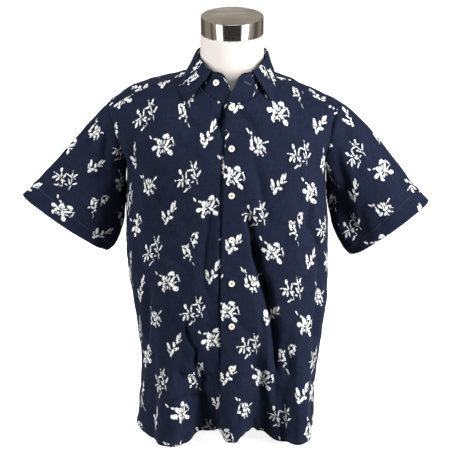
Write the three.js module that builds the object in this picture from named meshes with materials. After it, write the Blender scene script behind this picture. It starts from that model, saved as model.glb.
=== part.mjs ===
// A short-sleeved button-front shirt on a limbless torso dress form with a chromed neck cap.
// Millimetres, +Z up. The front faces -Y, so +X is the wearer's left.
// The shirt is one surface over the torso, cut along its seams into a maker's pieces. A place on it
// is (s, p): s runs round the body from the centre line, and p runs down from the shoulder's ridge,
// more than 0 on the front and less than 0 on the back.
import * as THREE from 'three';

// ---------- driving dimensions ----------
const WALL = 1.3; // cloth
const STIFF_WALL = 2; // collar and collar stand, which are two layers over a stiffener
const SEAM = 0.3; // space between two pieces where they are sewn
const HEM = 8; // height of the shirt's hem in front and behind
const HEM_SIDE = 10; // and how much higher it is at the side seams
const ARMPIT = 533; // height of the bottom of the armhole
const CENTRE = 3; // x of the button line
const BUTTON_STEP = 87; // from one front button to the next
const BUTTONS_UP = 6; // front buttons at that step, with one more at the top
const LOWEST_BUTTON = 173;
const TOP_BUTTON = 681;
const LAP = 24; // the front edges reach this far past the button line
const SLEEVE_HEM = 30; // depth of the sleeve's turned hem
const HEM_RISE = 0.8; // a turned hem stands this far out
const CAP_TOP = 832;
const CAP_HEIGHT = 34;
const CAP_RADIUS = 59;
const CAP_TILT = THREE.MathUtils.degToRad(4.5); // the neck's top leans forward
const NECK_X = 4;

// The shirt's level sections: half widths to each side of CENTRE, depths in front and behind, and
// the power of the superellipse that joins them. Above ARMPIT they run on under the shoulders.
const SECTIONS = [
  { z: HEM, right: 187, left: 161, front: 110, back: 108, power: 2.6 },
  { z: 70, right: 181, left: 162, front: 116, back: 110, power: 2.5 },
  { z: 137, right: 177, left: 168, front: 122, back: 112, power: 2.3 },
  { z: 220, right: 183, left: 179, front: 128, back: 112, power: 2.2 },
  { z: 290, right: 193, left: 185, front: 131, back: 113, power: 2.2 },
  { z: 400, right: 203, left: 186, front: 134, back: 118, power: 2.25 },
  { z: ARMPIT, right: 200, left: 180, front: 136, back: 134, power: 2.35 },
  { z: 600, right: 226, left: 200, front: 126, back: 134, power: 2.35 },
  { z: 660, right: 262, left: 236, front: 110, back: 114, power: 2.4 },
  { z: 720, right: 300, left: 272, front: 92, back: 88, power: 2.4 },
];

// The top of the shoulders: its height over each side, and how far down the cloth rounds over it.
const RIDGE = [
  { s: 0, right: 748, left: 746, round: 60 },
  { s: 80, right: 727, left: 723, round: 80 },
  { s: 120, right: 718, left: 704, round: 95 },
  { s: 160, right: 706, left: 688, round: 105 },
  { s: 200, right: 690, left: 671, round: 110 },
  { s: 240, right: 666, left: 655, round: 110 },
];

// Folds: from where and to where they run, how far forward or back of the torso (or in towards it,
// below 0) they reach at the lower end, their half width, how steep their edges are, and how far
// they lift the hem. s is below 0 on the wearer's right.
const FRONT_FOLDS = [
  { fromS: -150, fromZ: 260, toS: -136, toZ: HEM, out: 38, half: 28, edge: 5, lift: 5 },
  { fromS: -66, fromZ: 210, toS: -53, toZ: HEM, out: -32, half: 34, edge: 4, lift: 19 },
  { fromS: 4, fromZ: 240, toS: 6, toZ: HEM, out: 5, half: 20, edge: 2, lift: 7 },
  { fromS: -25, fromZ: 60, toS: -25, toZ: HEM, out: 0, half: 9, edge: 3, lift: 11 },
  { fromS: 23, fromZ: 60, toS: 23, toZ: HEM, out: 0, half: 9, edge: 3, lift: 14 },
  { fromS: 34, fromZ: 500, toS: 66, toZ: HEM, out: -32, half: 26, edge: 2, lift: 16 },
  { fromS: 36, fromZ: 130, toS: 41, toZ: HEM, out: -20, half: 14, edge: 3, lift: 14 },
  { fromS: 150, fromZ: 290, toS: 163, toZ: HEM, out: 44, half: 30, edge: 4, lift: 5 },
];
const BACK_FOLDS = [
  { fromS: -128, fromZ: 360, toS: -142, toZ: HEM, out: 26, half: 32, edge: 2, lift: 0 },
  { fromS: -60, fromZ: 300, toS: -70, toZ: HEM, out: -18, half: 30, edge: 2, lift: 6 },
  { fromS: 14, fromZ: 380, toS: 4, toZ: HEM, out: 20, half: 34, edge: 2, lift: 0 },
  { fromS: 66, fromZ: 280, toS: 76, toZ: HEM, out: -22, half: 28, edge: 2, lift: 8 },
  { fromS: 118, fromZ: 330, toS: 138, toZ: HEM, out: 24, half: 30, edge: 2, lift: 0 },
];

// Where the seams lie on the surface.
const NECK_HALF = 76; // half width of the neckline at the ridge
const NECK_FRONT = 689; // height of the neckline at the front and back centre
const NECK_BACK = 722;
const YOKE_BACK = 622; // height of the yoke's back seam
const YOKE_NECK = THREE.MathUtils.degToRad(14); // its front seam, as a turn over the ridge
const YOKE_TIP = THREE.MathUtils.degToRad(25);
const SHOULDER = { right: 240, left: 208 }; // s of the armhole at the ridge
const BACK_SHOULDER = 14; // the armhole is this much nearer the spine behind
const ARMHOLE_DIP = 5; // and dips in by this much between the shoulder and the armpit

// The collar stand's upper edge and the collar's outer edge. turn is in degrees round the neck from
// the centre back, x is out from the neck's middle. The collar's leaf on the wearer's left spreads
// less than the other, which leftX gives; the stand is alike on both sides.
const STAND_TOP = [
  { turn: -45, x: -46, y: 45, z: 761 },
  { turn: 0, x: 0, y: 65, z: 763 },
  { turn: 45, x: 46, y: 45, z: 761 },
  { turn: 90, x: 64, y: 0, z: 757 },
  { turn: 125, x: 55, y: -40, z: 750 },
  { turn: 155, x: 39, y: -67, z: 742 },
  { turn: 187, x: 16, y: -86, z: 742 },
];
const COLLAR_EDGE = [
  { turn: -45, x: -66, leftX: -66, y: 62, z: 722 },
  { turn: 0, x: 0, leftX: 0, y: 88, z: 717 },
  { turn: 45, x: 66, leftX: 66, y: 62, z: 722 },
  { turn: 90, x: 80, leftX: 80, y: 4, z: 728 },
  { turn: 122, x: 89, leftX: 86, y: -36, z: 719 },
  { turn: 145, x: 95, leftX: 85, y: -60, z: 706 },
  { turn: 172, x: 80, leftX: 78, y: -88, z: 688 },
];
const STAND_ROUND = 13; // radius of their upper corners
const COLLAR_FOLD_END = 158; // turn where the fold of the collar starts
const COLLAR_POINT = 172; // turn of its points

// Each sleeve's cuff: its upper and lower corners and half its depth.
// `crown` is how far its top edge bows out, `hug` how far its underside keeps to the body above
// the cuff, on the front and behind.
const CUFFS = {
  right: { topX: -397, topZ: 482, underX: -237, underZ: 371, half: 32, crown: 0, hug: [46, 46] },
  left: { topX: 381, topZ: 470, underX: 235, underZ: 362, half: 34, crown: 16, hug: [30, 54] },
};
// Soft folds along the sleeves: turn from the top edge over the front, at the armhole and the cuff.
const SLEEVE_FOLDS = {
  right: [
    { from: 24, to: 14, out: -5, half: 9, start: 0, end: 0.8 },
    { from: 120, to: 96, out: 5, half: 18, start: 0.1, end: 0.95 },
    { from: 250, to: 262, out: -5, half: 16, start: 0.1, end: 0.9 },
  ],
  left: [
    { from: 40, to: 30, out: -4, half: 10, start: 0, end: 0.7 },
    { from: 140, to: 128, out: -9, half: 16, start: 0.1, end: 1 },
    { from: 255, to: 250, out: -5, half: 16, start: 0.1, end: 0.9 },
  ],
};

// The dress form: half width, half depth, y of its middle and the superellipse's power. Its base is
// set back, where the shirt's folds leave room.
const FORM = [
  { z: 0, half: 112, depth: 50, middle: 36, power: 2.2 },
  { z: 30, half: 118, depth: 54, middle: 33, power: 2.2 },
  { z: 90, half: 130, depth: 70, middle: 24, power: 2.2 },
  { z: 137, half: 138, depth: 81, middle: 18, power: 2.2 },
  { z: 266, half: 150, depth: 94, middle: 10, power: 2.2 },
  { z: 389, half: 160, depth: 104, middle: 5, power: 2.2 },
  { z: 480, half: 166, depth: 113, middle: 4, power: 2.2 },
  { z: ARMPIT, half: 168, depth: 116, middle: 5, power: 2.2 },
  { z: 600, half: 182, depth: 112, middle: 6, power: 2.2 },
  { z: 635, half: 184, depth: 101, middle: 4, power: 2.2 },
  { z: 656, half: 168, depth: 88, middle: 3, power: 2.2 },
  { z: 678, half: 122, depth: 77, middle: 0, power: 2.1 },
  { z: 698, half: 88, depth: 71, middle: -1, power: 2 },
  { z: 716, half: 66, depth: 66, middle: -2, power: 2 },
  { z: 735, half: 61.6, depth: 62, middle: -1, power: 2 },
  { z: 760, half: 60.8, depth: 61, middle: 0, power: 2 },
  { z: CAP_TOP - CAP_HEIGHT - SEAM, half: 60.5, depth: 60.5, middle: 0, power: 2 },
];

const COLOURS = {
  cloth: { color: 0x212842, roughness: 0.85, metalness: 0 },
  button: { color: 0xece4cc, roughness: 0.4, metalness: 0 },
  form: { color: 0xf4efe6, roughness: 0.55, metalness: 0 },
  chrome: { color: 0xd8d6d2, roughness: 0.08, metalness: 1 },
};

// ---------- small tools ----------
const vec = (x, y, z) => new THREE.Vector3(x, y, z);
const lerp = THREE.MathUtils.lerp;
const clamp = THREE.MathUtils.clamp;
const smooth = THREE.MathUtils.smoothstep;
const radians = THREE.MathUtils.degToRad;
const QUARTER = Math.PI / 2;
const signedPower = (value, power) => Math.sign(value) * Math.abs(value) ** power;

// The value of one column of a table where another column has the value `at`, on a smooth curve
// that never overshoots its rows.
function read(table, by, name, at) {
  const last = table.length - 1;
  const x = clamp(at, table[0][by], table[last][by]);
  let i = 0;
  while (i < last - 1 && x > table[i + 1][by]) i += 1;
  const slope = k => (table[k + 1][name] - table[k][name]) / (table[k + 1][by] - table[k][by]);
  const tangent = k => {
    if (k === 0) return slope(0);
    if (k === last) return slope(last - 1);
    const a = slope(k - 1);
    const b = slope(k);
    return a * b <= 0 ? 0 : (2 * a * b) / (a + b);
  };
  const step = table[i + 1][by] - table[i][by];
  const t = (x - table[i][by]) / step;
  const from = table[i][name] + tangent(i) * step * t;
  const to = table[i + 1][name] - tangent(i + 1) * step * (1 - t);
  return lerp(from, to, t * t * (3 - 2 * t));
}

const superellipse = (half, depth, power, angle) => ({
  x: half * Math.sin(angle) ** (2 / power),
  y: depth * Math.cos(angle) ** (2 / power),
});

// ---------- the shirt's surface ----------
const ARC_STEPS = 40;

// Points on a quarter of the section at a height, from the centre line to the side, each with its
// distance along the cloth.
function quarterSection(z, side, face) {
  const half = read(SECTIONS, 'z', side, z);
  const depth = read(SECTIONS, 'z', face, z);
  const power = read(SECTIONS, 'z', 'power', z);
  const points = [];
  for (let i = 0; i <= ARC_STEPS; i += 1) {
    const point = superellipse(half, depth, power, (i / ARC_STEPS) * QUARTER);
    const before = points[i - 1];
    point.s = i ? before.s + Math.hypot(point.x - before.x, point.y - before.y) : 0;
    points.push(point);
  }
  return points;
}

const sideWidth = (side, face) => quarterSection(ARMPIT, side, face)[ARC_STEPS].s;
const WIDTH = {
  right: { front: sideWidth('right', 'front'), back: sideWidth('right', 'back') },
  left: { front: sideWidth('left', 'front'), back: sideWidth('left', 'back') },
};
const sideOf = s => (s < 0 ? 'right' : 'left');
const tipOf = s => Math.min(Math.abs(s), SHOULDER[sideOf(s)]);
const ridgeHeight = s => read(RIDGE, 's', sideOf(s), tipOf(s));
const roundOf = s => read(RIDGE, 's', 'round', tipOf(s));

// p of a height z on the front, and the height and fullness of a p on either side.
function downTo(s, z) {
  const drop = ridgeHeight(s) - z;
  const round = roundOf(s);
  return drop < round ? round * Math.acos(1 - drop / round) : drop + round * (QUARTER - 1);
}
function overRidge(s, p) {
  const round = roundOf(s);
  const turn = Math.abs(p) / round;
  if (turn >= QUARTER) return { z: ridgeHeight(s) - round - (turn - QUARTER) * round, full: 1 };
  return { z: ridgeHeight(s) - round * (1 - Math.cos(turn)), full: Math.sin(turn) };
}

const FOLD_ASIDE = 0.25; // folds reach sideways by this share of what they reach forward
const bell = (distance, half, edge = 2) => Math.exp(-(Math.abs(distance / half) ** edge));

function foldsOut(folds, s, z) {
  let out = 0;
  for (const fold of folds) {
    const along = clamp((fold.fromZ - z) / (fold.fromZ - fold.toZ), 0, 1);
    const middle = lerp(fold.fromS, fold.toS, along);
    out += fold.out * along ** 1.3 * bell(s - middle, fold.half, fold.edge);
  }
  return out;
}

function shirtPoint(s, p) {
  const face = p < 0 ? 'back' : 'front';
  const side = sideOf(s);
  const { z, full } = overRidge(s, p);
  const section = quarterSection(z, side, face);
  const stretch = z < ARMPIT ? section[ARC_STEPS].s / WIDTH[side][face] : 1;
  const along = clamp(Math.abs(s) * stretch, 0, section[ARC_STEPS].s - 1e-6);
  let i = 0;
  while (section[i + 1].s <= along) i += 1;
  const a = section[i];
  const b = section[i + 1];
  const t = (along - a.s) / (b.s - a.s);
  const across = side === 'left' ? 1 : -1;
  const away = face === 'front' ? -1 : 1;
  const folds = foldsOut(face === 'front' ? FRONT_FOLDS : BACK_FOLDS, s, z);
  const out = folds * (1 - smooth(along / section[ARC_STEPS].s, 0.72, 1));
  const x = lerp(a.x, b.x, t) + (FOLD_ASIDE * out * (a.y - b.y)) / (b.s - a.s);
  const y = lerp(a.y, b.y, t) * full + out;
  return vec(CENTRE + across * x, away * y, z);
}

// The surface's outward normal, from a small step each way.
function shirtNormal(s, p) {
  const step = 2;
  const across = shirtPoint(s + step, p).sub(shirtPoint(s - step, p));
  const down = shirtPoint(s, p + step).sub(shirtPoint(s, p - step));
  return down.cross(across).normalize();
}

function onShirt(s, p, out = 0) {
  const normal = shirtNormal(s, p);
  return { at: shirtPoint(s, p).addScaledVector(normal, out), normal };
}

// ---------- solids ----------
// A closed wall from rows of { at, normal, rise }: those points, moved out by the rise, and the same
// points moved in by the thickness. `ring` joins each row's end to its start.
function wall(rows, thickness, ring = false) {
  const count = rows[0].length;
  const corners = rows.flat();
  const moved = ({ at, normal }, out) => at.clone().addScaledVector(normal, out);
  const outer = corners.map(corner => moved(corner, corner.rise ?? 0));
  const inner = corners.map(corner => moved(corner, -thickness));
  const points = [...outer, ...inner];
  const base = corners.length;
  const faces = [];
  const quad = (a, b, c, d) => faces.push(a, b, c, a, c, d);
  const spans = ring ? count : count - 1;
  for (let j = 0; j < rows.length - 1; j += 1) {
    for (let i = 0; i < spans; i += 1) {
      const a = j * count + i;
      const b = j * count + ((i + 1) % count);
      quad(a, b, b + count, a + count);
      quad(base + a, base + a + count, base + b + count, base + b);
    }
  }
  const rim = (a, b) => quad(a, base + a, base + b, b);
  for (let i = 0; i < spans; i += 1) {
    const next = (i + 1) % count;
    const last = (rows.length - 1) * count;
    rim(i, next);
    rim(last + next, last + i);
  }
  for (let j = 0; !ring && j < rows.length - 1; j += 1) {
    rim((j + 1) * count, j * count);
    rim(j * count + count - 1, (j + 1) * count + count - 1);
  }
  return solid(points, faces);
}

// A geometry from points and faces, turned right side out.
function solid(points, faces) {
  let volume = 0;
  for (let i = 0; i < faces.length; i += 3) {
    const [a, b, c] = [points[faces[i]], points[faces[i + 1]], points[faces[i + 2]]];
    volume += a.dot(b.clone().cross(c));
  }
  if (volume < 0) faces.reverse();
  const geometry = new THREE.BufferGeometry().setFromPoints(points);
  geometry.setIndex(faces);
  geometry.computeVertexNormals();
  return geometry;
}

// Rows of points with normals worked out from their neighbours: down a column, then along a row,
// turn as the fingers of a right hand whose thumb is the normal, or of a left hand if `flip`.
function withNormals(rows, { ring = false, flip = false } = {}) {
  const count = rows[0].length;
  const pick = (j, i) => {
    const row = rows[clamp(j, 0, rows.length - 1)];
    return row[ring ? (i + count) % count : clamp(i, 0, count - 1)];
  };
  return rows.map((row, j) => row.map((at, i) => {
    const across = pick(j, i + 1).clone().sub(pick(j, i - 1));
    const along = pick(j + 1, i).clone().sub(pick(j - 1, i));
    const normal = along.cross(across).normalize();
    return { at, normal: flip ? normal.negate() : normal };
  }));
}

// At a seam the new piece's edge lies along its neighbour's, unless the cloth turns back there.
function seamNormal(own, host) {
  const share = smooth(own.dot(host), 0.2, 0.8);
  return own.clone().lerp(host, share).normalize();
}

const group = new THREE.Group();
function add(name, geometry, colour) {
  const mesh = new THREE.Mesh(geometry, new THREE.MeshStandardMaterial(COLOURS[colour]));
  mesh.name = name;
  group.add(mesh);
  return mesh;
}

// ---------- seams ----------
const P_FRONT = downTo(0, NECK_FRONT);
const P_BACK = downTo(0, NECK_BACK);
const sign = side => (side === 'left' ? 1 : -1);

// The neckline at a turn in degrees from the centre back, past 180 beyond the centre front.
function neckline(turn) {
  const angle = radians(Math.abs(turn));
  const s = Math.sign(turn) * NECK_HALF * Math.sin(angle);
  return { s, p: -(Math.abs(turn) < 90 ? P_BACK : P_FRONT) * Math.cos(angle) };
}

function yokeFront(side, s) {
  const along = clamp((s - NECK_HALF) / (SHOULDER[side] - NECK_HALF), 0, 1);
  return roundOf(sign(side) * s) * lerp(YOKE_NECK, YOKE_TIP, along);
}
const yokeBack = s => -downTo(s, YOKE_BACK);
const yokeNeckTurn = side => {
  const p = yokeFront(side, NECK_HALF);
  return 90 + THREE.MathUtils.radToDeg(Math.asin(p / P_FRONT));
};

// The armhole from the yoke's seam (t = 0) to the armpit (t = 1), on the front or the back.
function armhole(side, face, t) {
  const top = face === 'front'
    ? { s: SHOULDER[side], p: yokeFront(side, SHOULDER[side]) }
    : { s: SHOULDER[side] - BACK_SHOULDER, p: yokeBack(sign(side) * (SHOULDER[side] - BACK_SHOULDER)) };
  const topZ = overRidge(sign(side) * top.s, top.p).z;
  const z = lerp(topZ, ARMPIT, Math.sin(t * QUARTER));
  const widest = WIDTH[side][face] - SEAM / 2;
  const s = lerp(top.s, widest, (1 - Math.cos(t * QUARTER)) ** 1.6)
    - ARMHOLE_DIP * Math.sin(t * Math.PI);
  const p = downTo(sign(side) * s, z);
  return { s: sign(side) * s, p: face === 'front' ? p : -p };
}

function hemHeight(s, face) {
  const folds = face === 'front' ? FRONT_FOLDS : BACK_FOLDS;
  const side = HEM_SIDE * smooth(Math.abs(s) / WIDTH[sideOf(s)][face], 0.55, 1);
  return folds.reduce((z, fold) => z + fold.lift * bell(s - fold.toS, fold.half, fold.edge), HEM + side);
}

// ---------- panels ----------
const NECK_STEPS = 6;
const YOKE_NECK_STEPS = 8;
const SHOULDER_STEPS = 5;
const ARMHOLE_STEPS = 7;
const FRONT_ROWS = 27;
const YOKE_ROWS = 8;

// Rows between each column's top and the hem. Columns hold { top: { s, p }, bottomS }.
function panelRows(columns, face, count, lift = () => 0) {
  const away = face === 'front' ? 1 : -1;
  const rows = [];
  for (let j = 0; j <= count; j += 1) {
    rows.push(columns.map(({ top, bottomS }) => {
      const bottomP = away * downTo(bottomS, hemHeight(bottomS, face));
      const share = j / count;
      const s = lerp(top.s, bottomS, share * (2 - share));
      const p = lerp(top.p, bottomP, share);
      return onShirt(s, p, lift(s));
    }));
  }
  return rows;
}

// Turns round the neckline at which the pieces there have a column: the yoke's, then the front's
// up to the lap, then the lap's own.
const LAP_COLUMNS = 4;
const LAP_TURN = 6.8;
function neckTurns(side) {
  const neckTurn = yokeNeckTurn(side);
  const turns = { yoke: [], front: [], lap: [] };
  for (let i = 0; i <= YOKE_NECK_STEPS; i += 1) {
    turns.yoke.push(lerp(0, neckTurn, i / YOKE_NECK_STEPS));
  }
  for (let i = 1; i <= NECK_STEPS; i += 1) {
    turns.front.push(lerp(neckTurn, 180 - LAP_TURN, i / NECK_STEPS));
  }
  for (let i = 1; i <= LAP_COLUMNS; i += 1) {
    turns.lap.push(180 + LAP_TURN * lerp(-1, 1, i / LAP_COLUMNS));
  }
  return turns;
}

// The tops of one side's columns, from the lap outward.
function frontTops(side) {
  const turns = neckTurns(side).front.reverse();
  const tops = turns.map(turn => neckline(sign(side) * turn));
  const neckS = Math.abs(neckline(yokeNeckTurn(side)).s);
  for (let i = 0; i < SHOULDER_STEPS; i += 1) {
    const s = lerp(neckS, SHOULDER[side], i / SHOULDER_STEPS);
    tops.push({ s: sign(side) * s, p: yokeFront(side, s) + SEAM / 2 });
  }
  for (let i = 0; i <= ARMHOLE_STEPS; i += 1) {
    tops.push(armhole(side, 'front', i / ARMHOLE_STEPS));
  }
  return tops;
}

// One front. It reaches past the button line by LAP, less at the neck, where the edges part. Both
// fronts share the columns where they lap.
function front(side, lift) {
  const tops = frontTops(side);
  const widest = WIDTH[side].front - SEAM / 2;
  const columns = tops.map((top, i) => ({
    top,
    bottomS: sign(side) * lerp(LAP, widest, i / (tops.length - 1)),
  }));
  for (const turn of neckTurns(side).lap) {
    const bottomS = (sign(side) * LAP * (180 - turn)) / LAP_TURN;
    columns.unshift({ top: neckline(sign(side) * turn), bottomS });
  }
  return wall(panelRows(columns, 'front', FRONT_ROWS, lift), WALL);
}

// The wearer's left front lies over the right one, so it is moved out where they lap.
const lapShare = s => 1 - smooth(s, LAP, LAP * 2.5);
const lapLift = s => (WALL + 2 * SEAM) * lapShare(s);
add('right_front', front('right'), 'cloth');
add('left_front', front('left', lapLift), 'cloth');

function back() {
  const columns = [];
  const half = side => {
    const edge = SHOULDER[side] - BACK_SHOULDER;
    const tops = [];
    for (let i = 0; i < NECK_STEPS + SHOULDER_STEPS; i += 1) {
      const s = (sign(side) * edge * i) / (NECK_STEPS + SHOULDER_STEPS);
      tops.push({ s, p: yokeBack(s) - SEAM / 2 });
    }
    for (let i = 0; i <= ARMHOLE_STEPS; i += 1) tops.push(armhole(side, 'back', i / ARMHOLE_STEPS));
    const widest = WIDTH[side].back - SEAM / 2;
    return tops.map((top, i) => ({
      top,
      bottomS: (sign(side) * widest * i) / (tops.length - 1),
    }));
  };
  columns.push(...half('right').slice(1).reverse(), ...half('left'));
  return wall(panelRows(columns, 'back', FRONT_ROWS - 4), WALL);
}
add('back', back(), 'cloth');

// The yoke runs from the back seam over the ridge to the front seams, round the neck.
function yokeColumns(side) {
  const columns = [];
  const steps = YOKE_NECK_STEPS + SHOULDER_STEPS;
  const turns = neckTurns(side).yoke;
  const neckS = Math.abs(neckline(yokeNeckTurn(side)).s);
  for (let i = 0; i <= steps; i += 1) {
    const bottomS = (sign(side) * (SHOULDER[side] - BACK_SHOULDER) * i) / steps;
    const s = lerp(neckS, SHOULDER[side], (i - YOKE_NECK_STEPS) / SHOULDER_STEPS);
    const top = i < YOKE_NECK_STEPS
      ? neckline(sign(side) * turns[i])
      : { s: sign(side) * s, p: yokeFront(side, s) - SEAM / 2 };
    columns.push({ bottom: { s: bottomS, p: yokeBack(bottomS) + SEAM / 2 }, top });
  }
  return columns;
}
function yokePoint({ bottom, top }, share) {
  return onShirt(lerp(bottom.s, top.s, share), lerp(bottom.p, top.p, share));
}
function yoke() {
  const columns = [...yokeColumns('right').slice(1).reverse(), ...yokeColumns('left')];
  const rows = [];
  for (let j = 0; j <= YOKE_ROWS; j += 1) {
    rows.push(columns.map(column => yokePoint(column, j / YOKE_ROWS)));
  }
  return wall(rows, WALL);
}
add('yoke', yoke(), 'cloth');

// ---------- sleeves ----------
const SLEEVE_RINGS = 12;
const SLEEVE_LENGTH = 215; // along its top edge
const HEM_STEP = 1; // along the sleeve, over which its turned hem rises
const CUFF_Y = -6; // the sleeves hang a little forward
const ARMHOLE_HALF = { tall: 75, deep: 62 };
const ARMPIT_RUN = { out: 10, down: 58 }; // how the underside leaves the armpit
const CUFF_DROP = 26; // how far the underside still falls as it nears the cuff
const CUFF_CORNERS = 1.15; // above 1, the cuff's ends are drawn narrower than an ellipse's

// Points of the body's armhole, from the shoulder's tip over the back, the armpit and the front.
function armholeLoop(side) {
  const loop = [];
  const edge = yokeColumns(side).at(-1);
  for (let j = YOKE_ROWS - 1; j > 0; j -= 1) loop.push(yokePoint(edge, j / YOKE_ROWS));
  for (let i = 0; i <= ARMHOLE_STEPS; i += 1) {
    const place = armhole(side, 'back', i / ARMHOLE_STEPS);
    loop.push(onShirt(place.s, place.p));
  }
  for (let i = ARMHOLE_STEPS - 1; i >= 0; i -= 1) {
    const place = armhole(side, 'front', i / ARMHOLE_STEPS);
    loop.push(onShirt(place.s, place.p));
  }
  return loop;
}

// The direction in the body's cloth that leads off it at a point of the armhole.
function awayFrom(loop, i, out) {
  const next = loop[(i + 1) % loop.length].at;
  const before = loop[(i + loop.length - 1) % loop.length].at;
  const along = next.clone().sub(before).multiplyScalar(out);
  return along.cross(loop[i].normal).normalize();
}

// How far along the sleeve each ring lies (v = 0 to 1), and how far it stands out.
function sleeveLevels() {
  const hemStart = 1 - SLEEVE_HEM / SLEEVE_LENGTH;
  const levels = [];
  for (let j = 0; j <= SLEEVE_RINGS; j += 1) levels.push({ v: (j / SLEEVE_RINGS) * hemStart, rise: 0 });
  levels.push({ v: hemStart + HEM_STEP / SLEEVE_LENGTH, rise: HEM_RISE }, { v: 1, rise: HEM_RISE });
  return levels;
}

// The fold's reach at v along the sleeve and a turn in degrees round it.
function sleeveFold(fold, v, degrees) {
  const share = clamp((v - fold.start) / (fold.end - fold.start), 0, 1);
  const middle = lerp(fold.from, fold.to, share);
  return fold.out * Math.sin(share * Math.PI) * bell(degrees - middle, fold.half);
}

// Each point of the armhole runs along a curve of its own to the cuff. `turn` is its angle about
// the armhole's middle: 0 at the shoulder's tip, 90 degrees at the front, 180 at the armpit.
function sleeve(side) {
  const cuff = CUFFS[side];
  const out = sign(side);
  const loop = armholeLoop(side);
  const middle = loop.reduce((sum, c) => sum.add(c.at), vec(0, 0, 0)).divideScalar(loop.length);
  const tip = loop.reduce((best, c) => (c.at.z > best.at.z ? c : best)).at;
  const cuffMiddle = vec((cuff.topX + cuff.underX) / 2, CUFF_Y, (cuff.topZ + cuff.underZ) / 2);
  const cuffAcross = vec((cuff.topX - cuff.underX) / 2, 0, (cuff.topZ - cuff.underZ) / 2);
  const topRun = vec(cuff.topX, 0, cuff.topZ).sub(tip).multiplyScalar(1 / 3);
  const upward = cuffAcross.clone().normalize();
  const turns = loop.map(({ at }) => {
    const from = at.clone().sub(middle);
    return Math.atan2(-from.y / ARMHOLE_HALF.deep, from.dot(upward) / ARMHOLE_HALF.tall);
  });
  const curves = loop.map((corner, i) => {
    const turn = turns[i];
    const under = ((1 - Math.cos(turn)) / 2) ** 1.5;
    const end = cuffMiddle.clone()
      .addScaledVector(cuffAcross, signedPower(Math.cos(turn), CUFF_CORNERS))
      .add(vec(0, -cuff.half * Math.sin(turn), 0));
    const start = corner.at.clone()
      .addScaledVector(awayFrom(loop, i, out), SEAM * 1.5)
      .addScaledVector(corner.normal, (WALL + SEAM) * smooth(under, 0.1, 0.6));
    const leave = vec(out * ARMPIT_RUN.out, 0, -ARMPIT_RUN.down);
    const crown = cuff.crown * (1 - under);
    const hug = lerp(...cuff.hug, smooth(-Math.sin(turn), -0.4, 0.4));
    const first = start.clone().add(topRun.clone().lerp(leave, under)).add(vec(out * crown, 0, crown));
    const second = end.clone().sub(topRun.clone().lerp(vec(out * hug, 0, -CUFF_DROP), under));
    return new THREE.CubicBezierCurve3(start, first, second, end);
  });
  const levels = sleeveLevels();
  const rings = levels.map(({ v }) => curves.map(curve => curve.getPoint(v)));
  const grid = withNormals(rings, { ring: true, flip: side === 'right' });
  grid.forEach((ring, j) => ring.forEach((corner, i) => {
    const degrees = (THREE.MathUtils.radToDeg(turns[i]) + 360) % 360;
    for (const fold of SLEEVE_FOLDS[side]) {
      corner.at.addScaledVector(corner.normal, sleeveFold(fold, levels[j].v, degrees));
    }
    corner.rise = levels[j].rise;
  }));
  grid[0].forEach((corner, i) => {
    corner.normal = seamNormal(corner.normal, loop[i].normal);
  });
  return wall(grid, WALL, true);
}

for (const side of ['right', 'left']) add(`${side}_sleeve`, sleeve(side), 'cloth');

// ---------- collar ----------
const edgeAt = (table, turn, middle, column = 'x') => {
  const key = Math.abs(turn);
  const x = middle + Math.sign(turn) * read(table, 'turn', column, key);
  return vec(x, read(table, 'turn', 'y', key), read(table, 'turn', 'z', key));
};

// A point on the collar stand: share 0 at the neck seam, 1 at the upper edge. The end on the
// wearer's left lies over the other.
function standPoint(turn, share) {
  const seam = neckline(turn);
  const lift = turn > 0 ? (STIFF_WALL + 2 * SEAM) * lapShare(seam.s) : 0;
  const foot = onShirt(seam.s, seam.p, lift);
  const top = edgeAt(STAND_TOP, turn, NECK_X).add(vec(0, -lift, 0));
  const rise = top.clone().sub(foot.at);
  const fromEnd = radians(180 + LAP_TURN - Math.abs(turn)) * NECK_HALF;
  const corner = Math.max(0, STAND_ROUND - fromEnd);
  const cut = STAND_ROUND - Math.sqrt(STAND_ROUND ** 2 - corner ** 2);
  const height = rise.length();
  rise.multiplyScalar((lerp(2 * SEAM, height, share) - cut * share) / height);
  return foot.at.clone().add(rise);
}

const turnsOf = side => Object.values(neckTurns(side)).flat().map(turn => sign(side) * turn);
const STAND_TURNS = [...turnsOf('right').slice(1).reverse(), ...turnsOf('left')];
function stand() {
  const rows = [0, 0.33, 0.66, 1].map(share => STAND_TURNS.map(turn => standPoint(turn, share)));
  const grid = withNormals(rows);
  grid[0].forEach((corner, i) => {
    const seam = neckline(STAND_TURNS[i]);
    corner.normal = seamNormal(corner.normal, shirtNormal(seam.s, seam.p));
  });
  return wall(grid, STIFF_WALL);
}
add('collar_stand', stand(), 'cloth');

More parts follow.
